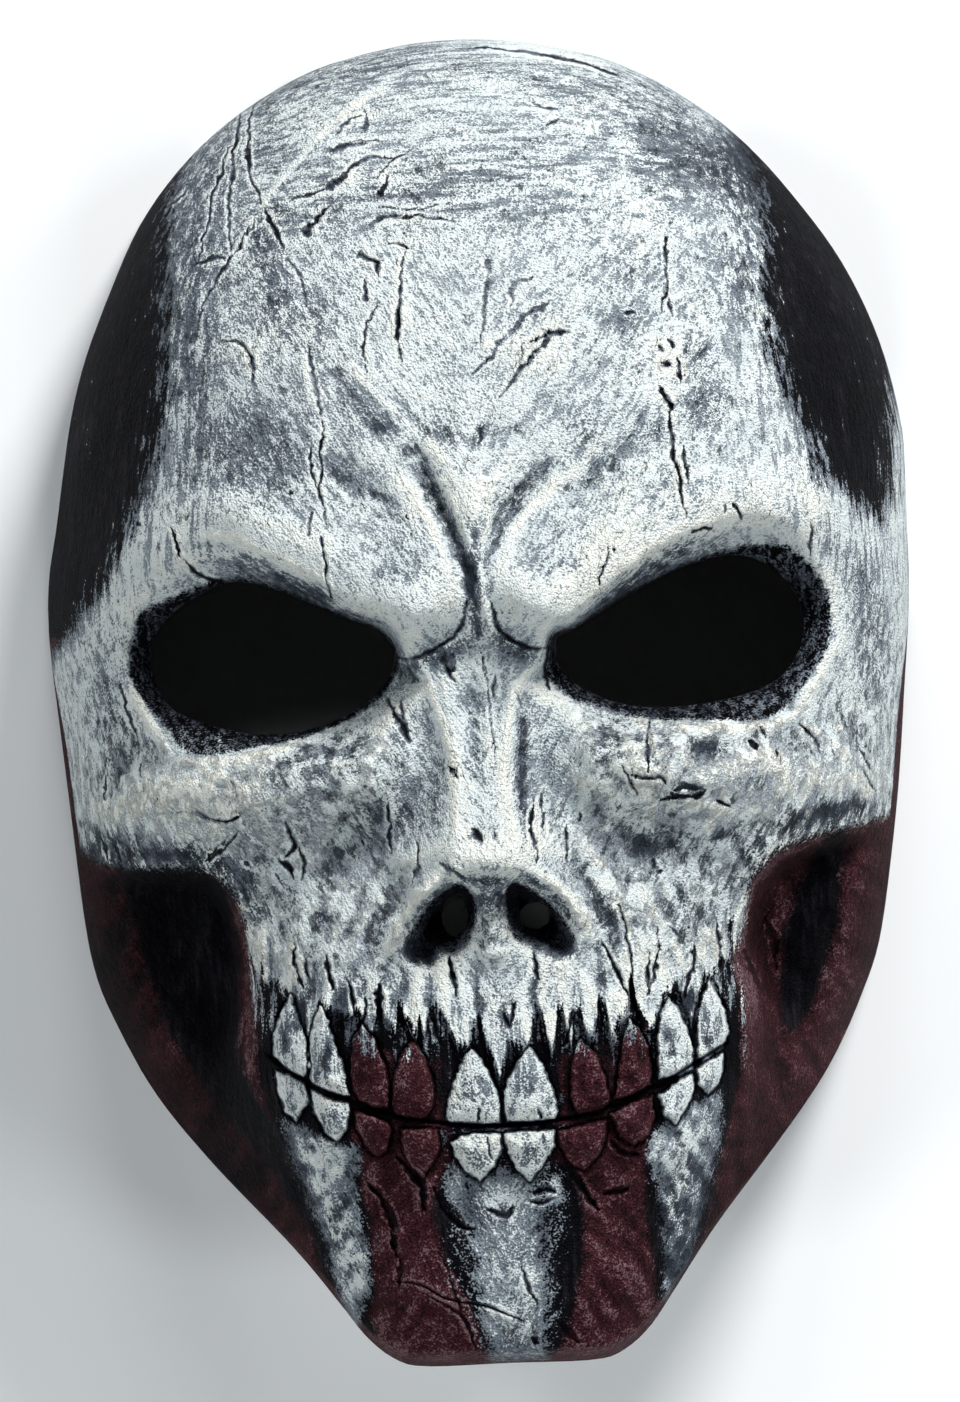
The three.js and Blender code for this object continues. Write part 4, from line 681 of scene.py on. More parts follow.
def outside(x, y, loop):
    """Distance to a closed outline, below zero inside it."""
    ring = np.vstack([loop, loop[:1]])
    distance = np.abs(along(x, y, ring)[0])
    odd = np.zeros(np.shape(x), bool)
    for (ax, ay), (bx, by) in zip(ring, ring[1:]):
        if ay != by:
            odd ^= ((ay > y) != (by > y)) & (x < (bx - ax) * (y - ay) / (by - ay) + ax)
    return np.where(odd, -distance, distance)


def noise(x, y, size, seed, octaves=1):
    """Soft random values from -1 to 1 whose bumps are about size across."""
    cells = 256
    lattice = np.random.default_rng(seed).uniform(-1, 1, (cells, cells))
    total = np.zeros(np.shape(x))
    for octave in range(octaves):
        scale = 2.0 ** octave / size
        u, v = x * scale + 17.3 * octave, y * scale + 5.1 * octave
        i, j = np.floor(u).astype(int), np.floor(v).astype(int)
        fu, fv = ramp(u - i), ramp(v - j)
        i0, i1, j0, j1 = i % cells, (i + 1) % cells, j % cells, (j + 1) % cells
        near = lattice[j0, i0] * (1 - fu) + lattice[j0, i1] * fu
        far = lattice[j1, i0] * (1 - fu) + lattice[j1, i1] * fu
        total += (near * (1 - fv) + far * fv) / 2.0 ** octave
    return total


def hollow_ring(edge, side):
    """The whole side of the face below a cheekbone's edge."""
    beyond = [(side * 30, -150), (side * 140, -150), (side * 140, edge[0][1])]
    return np.vstack([spline(edge, steps=3), beyond])


EYES = [spline(ring, closed=True) for ring in (EYE_LEFT, EYE_RIGHT)]
EYE_BANDS = [spline(ring, closed=True) for ring in (EYE_BAND_LEFT, EYE_BAND_RIGHT)]
NOSTRILS = [spline(ring, closed=True) for ring in (NOSTRIL_LEFT, NOSTRIL_RIGHT)]
HOLLOWS = [hollow_ring(CHEEK_LEFT, -1), hollow_ring(CHEEK_RIGHT, 1)]


# The grid

def outline_table():
    """The outline as directions from the middle of the face and the distance to it in each."""
    right = [(w, y) for y, w in HALF_OUTLINE]
    left = [(-w, y) for w, y in right[-2:0:-1]]
    ring = spline(right + left, closed=True, steps=10)
    ring[:, 0] = np.clip(ring[:, 0] + profile(ring[:, 1], OUTLINE_LEAN), -SIDE, SIDE)
    turn = np.arctan2(ring[:, 1], ring[:, 0])
    order = np.argsort(turn)
    return turn[order], np.hypot(*ring.T)[order]


OUTLINE_TURN, OUTLINE_REACH = outline_table()


def outline_reach(turn):
    return np.interp(turn, OUTLINE_TURN, OUTLINE_REACH, period=2 * np.pi)


def disc_grid(steps):
    """A square grid laid over the round face: directions, and s from 0 in the middle to 1 on the outline."""
    a, b = np.meshgrid(np.linspace(-1, 1, steps + 1), np.linspace(-1, 1, steps + 1))
    p = a * np.sqrt(1 - b ** 2 / 2)
    q = b * np.sqrt(1 - a ** 2 / 2)
    out = np.hypot(p, q)
    s = SPREAD * out - (SPREAD - 1) * out ** (SPREAD / (SPREAD - 1))
    s[[0, -1], :] = 1
    s[:, [0, -1]] = 1
    return np.arctan2(q, p), s


PAINT_FIELDS = ("bone", "red", "dark", "grey", "cream", "level", "comb", "flaky")


class Face:
    """The face on its grid: the place and height of every point, and what the paint does there.

    bone and red are signed: above 0 in bone or red paint, below 0 outside it, about 1 each way over the
    width of the painted edge. dark is black paint left in grooves, grey is dark ground showing through the
    bone paint together with painted shade in hollows and under brows and cheekbones (below 0 it is
    painted highlight), cream is paint built up on ridges together with painted highlight on ridges and
    painted shade in hollows, level is how far the brush went across rather than up, comb how far its
    streaks draw out the painted edges, and flaky how far the surface is broken into flakes.
    """

    def __init__(self, steps):
        self.turn, self.s = disc_grid(steps)
        r = outline_reach(self.turn) * self.s
        self.x, self.y = r * np.cos(self.turn), r * np.sin(self.turn)
        self.z = np.zeros_like(self.x)
        for name in PAINT_FIELDS:
            setattr(self, name, np.zeros_like(self.x))

    def near(self, points, reach):
        """Which points of the grid lie within reach of the box round some points, and their x and y."""
        low, high = np.min(points, axis=0) - reach, np.max(points, axis=0) + reach
        m = (self.x > low[0]) & (self.x < high[0]) & (self.y > low[1]) & (self.y < high[1])
        return m, self.x[m], self.y[m]

    def fold(self, width, height, shade, route):
        """A raised or sunk line whose ends fade out, with painted shade (darker) or highlight (lighter)."""
        curve = spline(route)
        m, x, y = self.near(curve, 3 * width)
        distance, place = along(x, y, curve)
        uneven = 1 + 0.35 * noise(x, y, 2.2, 5, 2)
        strength = ridge(distance, width) * between_ends(place, 0.35) * uneven
        self.z[m] += height * strength
        self.grey[m] += shade * strength

    def bank(self, height, rise, reach, route):
        """A step up on the left of a line, dying away further off and at the line's ends."""
        curve = spline(route)
        m, x, y = self.near(curve, reach)
        distance, place = along(x, y, curve)
        away = ramp(distance / rise) * ramp((reach - distance) / (reach - 2 * rise))
        self.z[m] += height * away * between_ends(place, 0.12)

    def groove(self, width, depth, black, route, narrow=False):
        """A cut with paint left in it and a low lip along each side. Its edges wander a little."""
        curve = spline(route) if len(route) > 2 else np.array(route, float)
        m, x, y = self.near(curve, 2 * width + 1)
        wander = 0.3 * noise(x, y, 0.8, 7) + 0.35 * noise(x, y, 2.2, 8)
        distance, place = along(x + wander, y - 0.7 * wander, curve)
        if narrow:
            tip = 1 - 0.9 * place
        else:
            tip = np.minimum(1, 0.35 + 2.5 * np.minimum(place, 1 - place))
        radius = 0.47 * width * tip * (1 + 0.6 * noise(x, y, 1.4, 9))
        black = black * (0.95 + 0.4 * noise(x, y, 2.0, 10))
        cut = ridge(distance, radius)
        if narrow:
            cut = cut * ramp((place + 0.02) / 0.08)
        lip = ridge(np.abs(distance) - radius - 0.4, 0.3) * between_ends(place, 0.1)
        self.z[m] -= depth * (cut - 0.3 * lip)
        self.grey[m] -= 0.25 * black * lip
        self.dark[m] = np.maximum(self.dark[m], black * cut)

    def swell(self, height, cx, cy, rx, ry, turn=0):
        """A soft round swelling, or a hollow if height is below 0."""
        c, s = math.cos(math.radians(turn)), math.sin(math.radians(turn))
        x, y = self.x - cx, self.y - cy
        return height * np.exp(-((x * c + y * s) / rx) ** 2 - ((y * c - x * s) / ry) ** 2)


# The sculpted face

def dome(face):
    under_chin = ramp((-np.sin(face.turn) - 0.8) / 0.18)
    power = DOME_SIDE + (DOME_CHIN - DOME_SIDE) * under_chin
    return DOME * (1 - face.s ** power) ** (1 / CREASE)


def skull_forms(face):
    """The temples fall away from the forehead along a rounded edge, and broad swellings shape the rest."""
    beyond = np.abs(face.x) - profile(face.y, TEMPLE_LINE)
    edge = 1.5 * ridge(beyond + 4.5, 4) - TEMPLE_DEPTH * ramp((beyond + 3) / 12)
    return edge * ramp((face.y - 8) / 25) + sum(face.swell(*swell) for swell in SWELLS)


def muzzle(face):
    return profile(face.y, MUZZLE_CREST) - 27 * (np.abs(face.x) / profile(face.y, MUZZLE_HALF)) ** 3.2


def cheek_forms(face):
    """The hollows beside the jaw, and the cheekbones that overhang them."""
    forms = np.zeros_like(face.z)
    for ring, side in zip(HOLLOWS, (-1, 1)):
        m, x, y = face.near(ring, 35)
        inside = -outside(x, y, ring)
        bank = 5 + 4 * ramp((-y - 40) / 30)
        shallower = 0.3 + 0.7 * ramp((1 - face.s[m]) / 0.22)
        forms[m] -= HOLLOW_DEPTH * shallower * ramp((y + 118) / 34) * ramp(inside / bank)
        distance, _ = along(x, y, spline([(side * ax, ay) for ax, ay in CHEEK_ARCH]))
        from_nose = ramp((side * x - 7) / 14)
        forms[m] += CHEEKBONE_HEIGHT * ridge(distance, 10) * ramp((3 - inside) / 4) * from_nose
    return forms


def brow_forms(face):
    forms = np.zeros_like(face.z)
    for route in (BROW_LEFT, BROW_RIGHT):
        m, x, y = face.near(route, 26)
        distance, _ = along(x, y, spline(route))
        forms[m] += BROW_HEIGHT * ridge(distance, BROW_WIDTH)
    return forms


def nose_roof(face):
    aside = np.maximum(np.abs(face.x - NOSE_LEAN) - profile(face.y, NOSE_HALF), 0)
    roof = profile(face.y, NOSE_RIDGE) - 1.15 * aside - 0.025 * aside ** 2
    return lower(roof, NOSE + 0.5 - 2.2 * np.maximum(-33.5 - face.y, 0), 3)


def sockets(face):
    """Steep banks run down to the edge of each eye hole."""
    reach = 22
    for ring in EYES:
        m, x, y = face.near(ring, reach)
        out = np.abs(x)
        level = profile(out, EYE_LEVEL) + 0.2 * (8 - y)
        steep = 2 + ramp((y - 6 - 0.25 * (out - 20)) / 8) * profile(out, BROW_STEEP)
        distance = outside(x, y, ring)
        banked = lower(face.z[m], level + np.where(distance > 0, steep, 0.6) * distance, 3)
        face.z[m] = np.where(distance < reach, banked, face.z[m])


def nostril_hollows(face):
    for ring in NOSTRILS:
        m, x, y = face.near(ring, 4)
        inside = -outside(x, y, ring)
        deep = NOSTRIL_DEPTH - 4.5 * ramp((-42.5 - y) / 7)
        face.z[m] -= deep * ramp(inside / 3.2) + ramp((inside + 0.8) / 1.2)


def tooth(face, outline, proud):
    """A tooth standing out of the gums. Returns its place and the depth inside its outline."""
    m, x, y = face.near(outline, 2)
    inside = 0.25 - outside(x, y, outline) + 0.22 * noise(x, y, 1.1, 35, 2)
    crown = 0.55 * ramp(inside / 0.7) + 0.45 * np.clip(inside / 3.6, 0, 1)
    uneven = 0.3 * noise(x, y * 0.4, 2.4, 31, 2) * ramp(inside / 1.5)
    face.z[m] += np.where(inside > -1.2, proud * crown + uneven - ridge(inside, 0.24), 0)
    return m, inside


def gum_step(face):
    """How far below the fringe of bone each point lies, and the share of the step down to the gums there."""
    below = np.interp(face.x, *np.array(FRINGE).T) + 0.4 * noise(face.x, face.y, 1.1, 11) - face.y
    step = ramp(below / 2.2) * ramp((face.y + 112) / 12) * ramp((50 - np.abs(face.x)) / 3)
    return below, step


def skin(face, below):
    """The uneven surface left by modelling: aslant on the cheeks, drawn out into roots above the teeth."""
    x, y = face.x, face.y
    out = np.abs(x)
    cheeks = ramp((out - 10) / 12) * ramp((4 - y) / 12)
    lumps = 0.4 * noise(x, y, 13, 21, 2) + (0.18 + 0.5 * cheeks) * noise(x, y, 4.4, 22, 2)
    c, s = math.cos(math.radians(28)), math.sin(math.radians(28))
    strokes = 0.42 * cheeks * noise(out * c + y * s + 40 * (x > 0), (y * c - out * s) * 0.2, 2.1, 23)
    above_teeth = ramp((below + 15) / 12) * ramp((3 - below) / 3) * ramp((50 - out) / 6)
    roots = above_teeth * (0.9 * noise(x, y * 0.1, 2.6, 26) + 0.35 * noise(x, y * 0.16, 1.2, 27))
    face.grey -= 0.34 * np.clip(roots, -1, 0.5) + 0.4 * np.clip(strokes, -0.3, 0.3)
    return (lumps + strokes + roots) * ramp((1 - face.s) / 0.02)


def sculpt(face):
    """Heights of the face over the rim plane. Returns what the paint follows from them."""
    front = 1 - face.s ** 8
    z = dome(face) + skull_forms(face) * front
    z = higher(z, muzzle(face), 6)
    edge = EDGE * (1 - face.s ** EDGE_SQUARE) ** (1 / CREASE)
    z = lower(z, edge, np.minimum(6, edge / 4 + 1e-6))
    z += (cheek_forms(face) + brow_forms(face)) * front
    z += sum(face.swell(*swell) for swell in FROWN_SWELLS)
    face.z = higher(z, nose_roof(face), 4)
    face.z += face.swell(2.2, NOSE_LEAN, -31.5, 7.5, 4.5)
    for form in BANKS:
        face.bank(*form)
    sockets(face)
    for form in FOLDS:
        face.fold(*form)
    nostril_hollows(face)
    below, step = gum_step(face)
    face.z -= GUM_DEPTH * step
    bone_teeth = [tooth(face, outline, BONE_TEETH_PROUD) for outline in BONE_TEETH]
    red_teeth = [tooth(face, outline, RED_TEETH_PROUD) for outline in RED_TEETH]
    distance, place = along(face.x, face.y, spline(MOUTH))
    slit = ridge(distance, MOUTH_WIDTH) * between_ends(place, 0.04)
    face.z -= MOUTH_DEPTH * slit
    face.dark = np.maximum(face.dark, 1.1 * slit)
    face.z += skin(face, below)
    for form in CRACKS + JAW_GAPS + CHIN_FOLDS:
        face.groove(*form)
    for form in LEAVES:
        face.groove(*form, narrow=True)
    face.z[face.s >= 1] = 0
    return below, bone_teeth, red_teeth


# Paint

def capped(values):
    return np.clip(values, -FIELD_REACH, FIELD_REACH)


def field(face, ring, feather):
    """A signed field: above 0 inside an outline, below 0 outside, 1 each way over the feather."""
    values = np.full_like(face.x, -FIELD_REACH)
    m, x, y = face.near(ring, FIELD_REACH * feather)
    values[m] = capped(-outside(x, y, np.asarray(ring, float)) / feather)
    return values


def softened(values, radius):
    """A grid of values averaged over squares of a few points, twice."""
    for axis in (0, 1, 0, 1):
        edges = [(radius + 1, radius) if k == axis else (0, 0) for k in (0, 1)]
        sums = np.cumsum(np.pad(values, edges, mode="edge"), axis=axis)
        spots = np.arange(values.shape[axis])
        values = (sums.take(spots + 2 * radius + 1, axis) - sums.take(spots, axis)) / (2 * radius + 1)
    return values


def paint_bone(face, below, bone_teeth, red_teeth):
    """Bone paint covers all but the temples, cheek hollows, gums, side walls and the edges of the holes."""
    bone = np.minimum(-field(face, TEMPLE_LEFT, 2.2), -field(face, TEMPLE_RIGHT, 2.4))
    for ring in HOLLOWS:
        bone = np.minimum(bone, -field(face, ring, 1.6))
    frayed = below + 1.1 * noise(face.x, face.y * 0.12, 0.9, 12)
    under_fringe = np.where(np.abs(face.x) < JAW_HALF, -frayed / 1.3, FIELD_REACH)
    worn = -0.25 - 0.13 * np.clip(below - 2, 0, 8)
    bone = np.minimum(bone, np.clip(under_fringe, worn, FIELD_REACH))
    limit = np.where(face.x > 0, 0.984, 0.987)
    limit += (1 - limit) * ramp((face.y + 12) / 28)
    above_wall = np.where(face.y < WALL_PAINT_TOP, (limit - face.s) / 0.0015, FIELD_REACH)
    bone = np.minimum(bone, capped(above_wall))
    for stripe, feather in ((STRIPE_LEFT, 1.6), (STRIPE_RIGHT, 1.8), (STRIPE_MIDDLE, 3.0)):
        bone = np.maximum(bone, field(face, stripe, feather))
    bone = np.maximum(bone, -1.9)
    for x, y, across, up, turn, amount in FLECKS:
        bone += np.where(bone < 0.4, face.swell(amount, x, y, across, up, turn), 0)
    for m, inside in bone_teeth:
        bone[m] = np.maximum(bone[m], capped(inside / 0.3))
    for m, inside in red_teeth:
        worn_tip = -1.5 + 1.6 * ramp((face.y[m] + 74) / 8)
        bone[m] = np.where(inside > 0, np.minimum(bone[m], worn_tip), bone[m])
    for ring in EYE_BANDS:
        band = field(face, ring, 0.6)
        bone = np.minimum(bone, np.maximum(-band, -0.15))
        face.grey += 0.28 * ramp(band)
        face.comb = np.maximum(face.comb, 0.5 * ramp(band))
    for ring in NOSTRILS:
        pit = field(face, ring, 0.5)
        floor = np.clip(0.5 - 0.1 * (face.y + 50), -0.5, 0.5)
        bone = np.minimum(bone, np.maximum(-pit, floor))
        # painted shade deepening the nostril hollows
        face.grey += 0.35 * ramp(pit)
    return bone


def paint_red(face, red_teeth):
    """Red paint covers the jaw, the cheek hollows but for a black band, the side walls and eight teeth."""
    red = np.minimum(field(face, RED_JAW, 1.5), -field(face, BLACK_MIDDLE, 1.6))
    for ring, band in zip(HOLLOWS, (BLACK_BAND_LEFT, BLACK_BAND_RIGHT)):
        red = np.maximum(red, np.minimum(field(face, ring, 1.5), -field(face, band, 2.0)))
    side_wall = capped((face.s - 0.982) / 0.002)
    red = np.maximum(red, np.where(face.y < WALL_PAINT_TOP, side_wall, -FIELD_REACH))
    for m, inside in red_teeth:
        red[m] = np.maximum(red[m], capped(inside / 0.5))
    return red


def paint(face, below, bone_teeth, red_teeth):
    """What the paint does, from the outlines of its areas and from the relief."""
    out = np.abs(face.x)
    for x, y, across, up, turn, amount in GREYS_SHADES_AND_HIGHLIGHTS:
        face.grey += face.swell(amount, x, y, across, up, turn)
    face.bone = paint_bone(face, below, bone_teeth, red_teeth)
    face.red = paint_red(face, red_teeth)
    gums = ramp(below / 2) * ramp((face.y + 86) / 4) * (out < 34)
    for m, inside in bone_teeth + red_teeth:
        x, y = face.x[m], face.y[m]
        gums[m] *= ramp((0.6 - inside) / 0.6)
        worn = 0.6 + 0.45 * noise(x, y, 1.8, 34, 2)
        face.dark[m] = np.maximum(face.dark[m], worn * ridge(inside + 0.1, 0.18))
        facet = ramp((inside - 0.5) / 1.2) * (0.16 + 0.14 * noise(x, y, 2.0, 33, 2))
        face.grey[m] += np.where(inside > 0, facet, 0)
    face.red = np.where(gums > 0, np.minimum(face.red, 1.1) - 1.1 * gums, face.red)
    face.grey += 0.12 * gums
    for route in BROW_CREASES:
        face.groove(0.6, 0.6, 0.7, route)
    reach = GRID // 256
    # cream: lighter where the surface stands above its surroundings, darker where it sinks below them;
    # partly paint built up on ridges, partly painted highlight on ridges and painted shade in hollows
    face.cream = np.clip((face.z - softened(face.z, reach)) / 0.12, -1.2, 1.2)
    face.cream += np.clip((face.z - softened(face.z, 4 * reach)) / 1.2, -0.9, 0.6)
    face.cream *= ramp((1 - face.s) / 0.03)
    face.level = ramp((face.y - 88) / 14) * ramp((52 - out) / 12)
    face.comb = np.maximum(face.comb, ramp((out - 46) / 8) * ramp((face.y - 14) / 10))
    face.flaky = ramp((out - 13) / 10) * ramp((0 - face.y) / 8) * ramp((face.y + 60) / 14)
    combed = ramp((below + 12) / 8) * (0.2 + 0.8 * ramp((face.y + 78) / 6))
    face.comb = np.maximum(face.comb, combed * (out < JAW_HALF))


# Mesh

def normals(points):
    along_rows, along_columns = np.gradient(points, axis=1), np.gradient(points, axis=0)
    n = np.cross(along_rows, along_columns)
    return n / (np.linalg.norm(n, axis=2, keepdims=True) + 1e-12)


def grid_errors(points, fields, shape_error, paint_error):
    """For each grid point, how much is lost without it or without any point that needs it, in tolerances."""
    steps = len(points) - 1
    n = normals(points)
    errors = np.zeros((steps + 1, steps + 1))

    def loss(rows, cols, dj, di):
        before, after = np.ix_(rows - dj, cols - di), np.ix_(rows + dj, cols + di)
        here = np.ix_(rows, cols)
        off = points[here] - (points[before] + points[after]) / 2
        lost = np.abs((off * n[here]).sum(axis=2)) / shape_error
        for values in fields:
            flat = (values[before] + values[after]) / 2
            lost = np.maximum(lost, np.abs(values[here] - flat) / paint_error)
        return lost

    def gather(rows, cols, offsets):
        """The largest error among the neighbours of some points."""
        most = np.zeros((len(rows), len(cols)))
        for dj, di in offsets:
            j, i = rows + dj, cols + di
            valid = ((j >= 0) & (j <= steps))[:, None] & ((i >= 0) & (i <= steps))[None]
            found = errors[np.ix_(np.clip(j, 0, steps), np.clip(i, 0, steps))]
            most = np.maximum(most, np.where(valid, found, 0))
        return most

    half = 1
    while half < steps:
        size = 2 * half
        quarter = half // 2
        even, odd = np.arange(0, steps + 1, size), np.arange(half, steps, size)
        corners = [(dj, di) for dj in (-quarter, quarter) for di in (-quarter, quarter)] if quarter else []
        for rows, cols, dj, di in ((even, odd, 0, half), (odd, even, half, 0)):
            errors[np.ix_(rows, cols)] = np.maximum(loss(rows, cols, dj, di), gather(rows, cols, corners))
        rising, falling = loss(odd, odd, half, half), loss(odd, odd, half, -half)
        squares = np.add.outer(odd // size, odd // size) % 2 == 0
        sides = gather(odd, odd, ((-half, 0), (half, 0), (0, -half), (0, half)))
        errors[np.ix_(odd, odd)] = np.maximum(np.where(squares, rising, falling), sides)
        half = size
    return errors


def grid_triangles(errors):
    """Halves right triangles over the grid while a point in them is needed. They turn left seen from +Z."""
    steps = len(errors) - 1
    width = steps + 1
    needed = (errors > 1).ravel().tolist()
    triangles = []
    stack = [(0, 0, steps, steps, 0, steps), (steps, steps, 0, 0, steps, 0)]
    while stack:
        ai, aj, bi, bj, ci, cj = stack.pop()
        mi, mj = (ai + bi) // 2, (aj + bj) // 2
        if not (ai + bi) % 2 and not (aj + bj) % 2 and needed[mj * width + mi]:
            stack.append((ci, cj, ai, aj, mi, mj))
            stack.append((bi, bj, ci, cj, mi, mj))
        else:
            triangles.append((aj * width + ai, bj * width + bi, cj * width + ci))
    return np.array(triangles)


def compact(points, values, triangles):
    used, faces = np.unique(triangles, return_inverse=True)
    return points[used], values[used], faces.reshape(-1, 3)


def clipped(points, values, faces, keep):
    """The part of a mesh where keep is above 0, cut along keep = 0."""
    close = 1e-3
    sign = np.where(keep > close, 1, np.where(keep < -close, -1, 0))
    signs = sign[faces]
    whole = faces[(signs.min(axis=1) >= 0) & (signs.max(axis=1) > 0)]
    points, values, made, pieces = list(points), list(values), {}, []

    def crossing(a, b):
        key = (min(a, b), max(a, b))
        if key not in made:
            t = keep[a] / (keep[a] - keep[b])
            made[key] = len(points)
            points.append(points[a] + (points[b] - points[a]) * t)
            values.append(values[a] + (values[b] - values[a]) * t)
        return made[key]

    for face in faces[(signs.min(axis=1) < 0) & (signs.max(axis=1) > 0)].tolist():
        ring = []
        for a, b in zip(face, face[1:] + face[:1]):
            if sign[a] >= 0:
                ring.append(a)
            if sign[a] * sign[b] < 0:
                ring.append(crossing(a, b))
        pieces += [(ring[0], ring[k], ring[k + 1]) for k in range(1, len(ring) - 1)]
    faces = np.vstack([whole, np.array(pieces).reshape(-1, 3)])
    return compact(np.array(points), np.array(values), faces)


def open_loops(faces):
    """The open edges of a mesh, chained into loops of vertices."""
    edges = np.vstack([faces[:, [0, 1]], faces[:, [1, 2]], faces[:, [2, 0]]])
    span = edges.max() + 1
    forward, backward = edges[:, 0] * span + edges[:, 1], edges[:, 1] * span + edges[:, 0]
    following = dict(edges[~np.isin(forward, backward)].tolist())
    loops = []
    while following:
        start, here = following.popitem()
        loop = [start]
        while here != start:
            loop.append(here)
            here = following.pop(here)
        loops.append(loop)
    return loops


def middle(points, loop):
    """The middle of the box round a loop of vertices, and its width."""
    ring = points[loop][:, :2]
    low, high = ring.min(axis=0), ring.max(axis=0)
    return (low + high) / 2, high[0] - low[0]


def sorted_round(points, loop):
    """A loop's vertices in rising direction round its middle, with those directions and the first again."""
    centre, _ = middle(points, loop)
    turn = np.arctan2(*(points[loop][:, :2] - centre).T[::-1])
    order = np.argsort(turn)
    return np.array(loop)[order].tolist(), np.append(turn[order], turn.min() + 2 * math.pi)


def wall_between(points, outer, inner, is_rim):
    """Triangles between a loop of the outer surface and the same loop of the inner one."""
    a_loop, a_turn = sorted_round(points, outer)
    b_loop, b_turn = sorted_round(points, inner)
    walls, a, b = [], 0, 0
    while a < len(a_loop) or b < len(b_loop):
        now_a, now_b = a_loop[a % len(a_loop)], b_loop[b % len(b_loop)]
        if b >= len(b_loop) or (a < len(a_loop) and a_turn[a + 1] <= b_turn[b + 1]):
            a += 1
            wall = (now_a, a_loop[a % len(a_loop)], now_b)
        else:
            b += 1
            wall = (now_a, b_loop[b % len(b_loop)], now_b)
        walls.append(wall[::-1] if is_rim else wall)
    return walls


def ellipse(cx, cy, rx, ry, sides=28):
    turn = 2 * np.pi * np.arange(sides) / sides
    return np.c_[cx + rx * np.cos(turn), cy + ry * np.sin(turn)]


def with_holes(mesh):
    reach = 6
    for ring in EYES + [ellipse(*hole) for hole in BREATHING_HOLES]:
        points, values, faces = mesh
        close = (points[:, :2] > ring.min(axis=0) - reach).all(axis=1)
        close &= (points[:, :2] < ring.max(axis=0) + reach).all(axis=1)
        keep = np.full(len(points), float(reach))
        keep[close] = outside(points[close, 0], points[close, 1], ring)
        mesh = clipped(points, values, faces, keep)
    return mesh


def above_arch(mesh):
    """The part of a sheet above the arch that the rim makes under the chin."""
    place, height = mesh[0][:, 1], mesh[0][:, 2]
    arch = NECK_ARCH * ramp((NECK_FROM - place) / (CHIN + NECK_FROM))
    return clipped(*mesh, np.where(place < NECK_FROM, height - arch, 1.0))


def inner_heights(face, x, y):
    """One wall thickness under the outside: a ball of that radius rolls under its points, cell by cell."""
    cell = 1.0
    reach = int(max(SIDE, CHIN)) + 8
    lowest = np.full((2 * reach, 2 * reach), np.inf)
    cells = [np.rint(v / cell).astype(int) + reach for v in (face.y, face.x)]
    np.minimum.at(lowest, tuple(cells), face.z)
    i, j = np.rint(x / cell).astype(int), np.rint(y / cell).astype(int)
    heights = np.full_like(x, np.inf)
    span = int(WALL / cell)
    for dj in range(-span, span + 1):
        for di in range(-span, span + 1):
            square = WALL ** 2 - ((i + di) * cell - x) ** 2 - ((j + dj) * cell - y) ** 2
            under = lowest[j + dj + reach, i + di + reach] - np.sqrt(np.maximum(square, 0))
            heights = np.where(square > 0, np.minimum(heights, under), heights)
    return heights


def outer_mesh(face):
    points = np.dstack([face.x, face.y, face.z])
    watched = [np.clip(face.bone, -1.6, 1.6), np.clip(face.red, -1.6, 1.6), face.dark, 1.5 * face.grey,
               0.1 * face.cream]
    triangles = grid_triangles(grid_errors(points, watched, SHAPE_ERROR, PAINT_ERROR))
    values = np.dstack([getattr(face, name) for name in PAINT_FIELDS]).reshape(-1, len(PAINT_FIELDS))
    return above_arch(with_holes(compact(points.reshape(-1, 3), values, triangles)))


def inner_mesh(face):
    turn, s = disc_grid(INNER_GRID)
    r = (outline_reach(turn) - WALL) * s
    x, y = r * np.cos(turn), r * np.sin(turn)
    z = softened(np.maximum(inner_heights(face, x, y), 1), 1)
    z[s >= 1] = 0
    points = np.dstack([x, y, z])
    triangles = grid_triangles(grid_errors(points, [], INNER_ERROR, 1))
    bare = np.zeros((x.size, len(PAINT_FIELDS)))
    return above_arch(with_holes(compact(points.reshape(-1, 3), bare, triangles)))


def mask_mesh(face):
    """The whole shell: outside, inside, the rim between them and the walls of the holes."""
    outer_points, outer_values, outer_faces = outer_mesh(face)
    inner_points, inner_values, inner_faces = inner_mesh(face)
    points = np.vstack([outer_points, inner_points])
    inner_faces = inner_faces[:, ::-1] + len(outer_points)
    inner_loops = open_loops(inner_faces)
    walls, seams = [], set()
    for loop in open_loops(outer_faces):
        centre, width = middle(points, loop)

        def mismatch(other):
            other_centre, other_width = middle(points, other)
            return np.hypot(*(other_centre - centre)) + abs(other_width - width)

        match = min(inner_loops, key=mismatch)
        walls += wall_between(points, loop, match, width > SIDE)
        for ring in (loop, match):
            seams |= {frozenset(edge) for edge in zip(ring, ring[1:] + ring[:1])}
    triangles = np.vstack([outer_faces, inner_faces, np.array(walls)])
    unpainted = np.arange(len(triangles)) >= len(outer_faces)
    return points, np.vstack([outer_values, inner_values]), triangles, unpainted.astype(int), seams


def in_scene(name, data):
    made = bpy.data.objects.new(name, data)
    bpy.context.scene.collection.objects.link(made)
    return made


def make_mask():
    face = Face(GRID)
    paint(face, *sculpt(face))
    points, values, triangles, unpainted, seams = mask_mesh(face)
    mesh = bpy.data.meshes.new("latex_mask")
    mesh.from_pydata((points * MM).tolist(), [], triangles.tolist())
    for name, column in zip(PAINT_FIELDS, values.T):
        mesh.attributes.new(name, "FLOAT", "POINT").data.foreach_set("value", column.astype(np.float32))
    mesh.polygons.foreach_set("material_index", unpainted)
    mesh.polygons.foreach_set("use_smooth", np.ones(len(triangles), bool))
    sharp = np.array([frozenset(edge.vertices) in seams for edge in mesh.edges])
    mesh.attributes.new("sharp_edge", "BOOLEAN", "EDGE").data.foreach_set("value", sharp)
    mesh.materials.append(painted_latex())
    mesh.materials.append(bare_latex_dark_for_shade())
    mesh.update()
    return in_scene("latex_mask", mesh)


# Materials

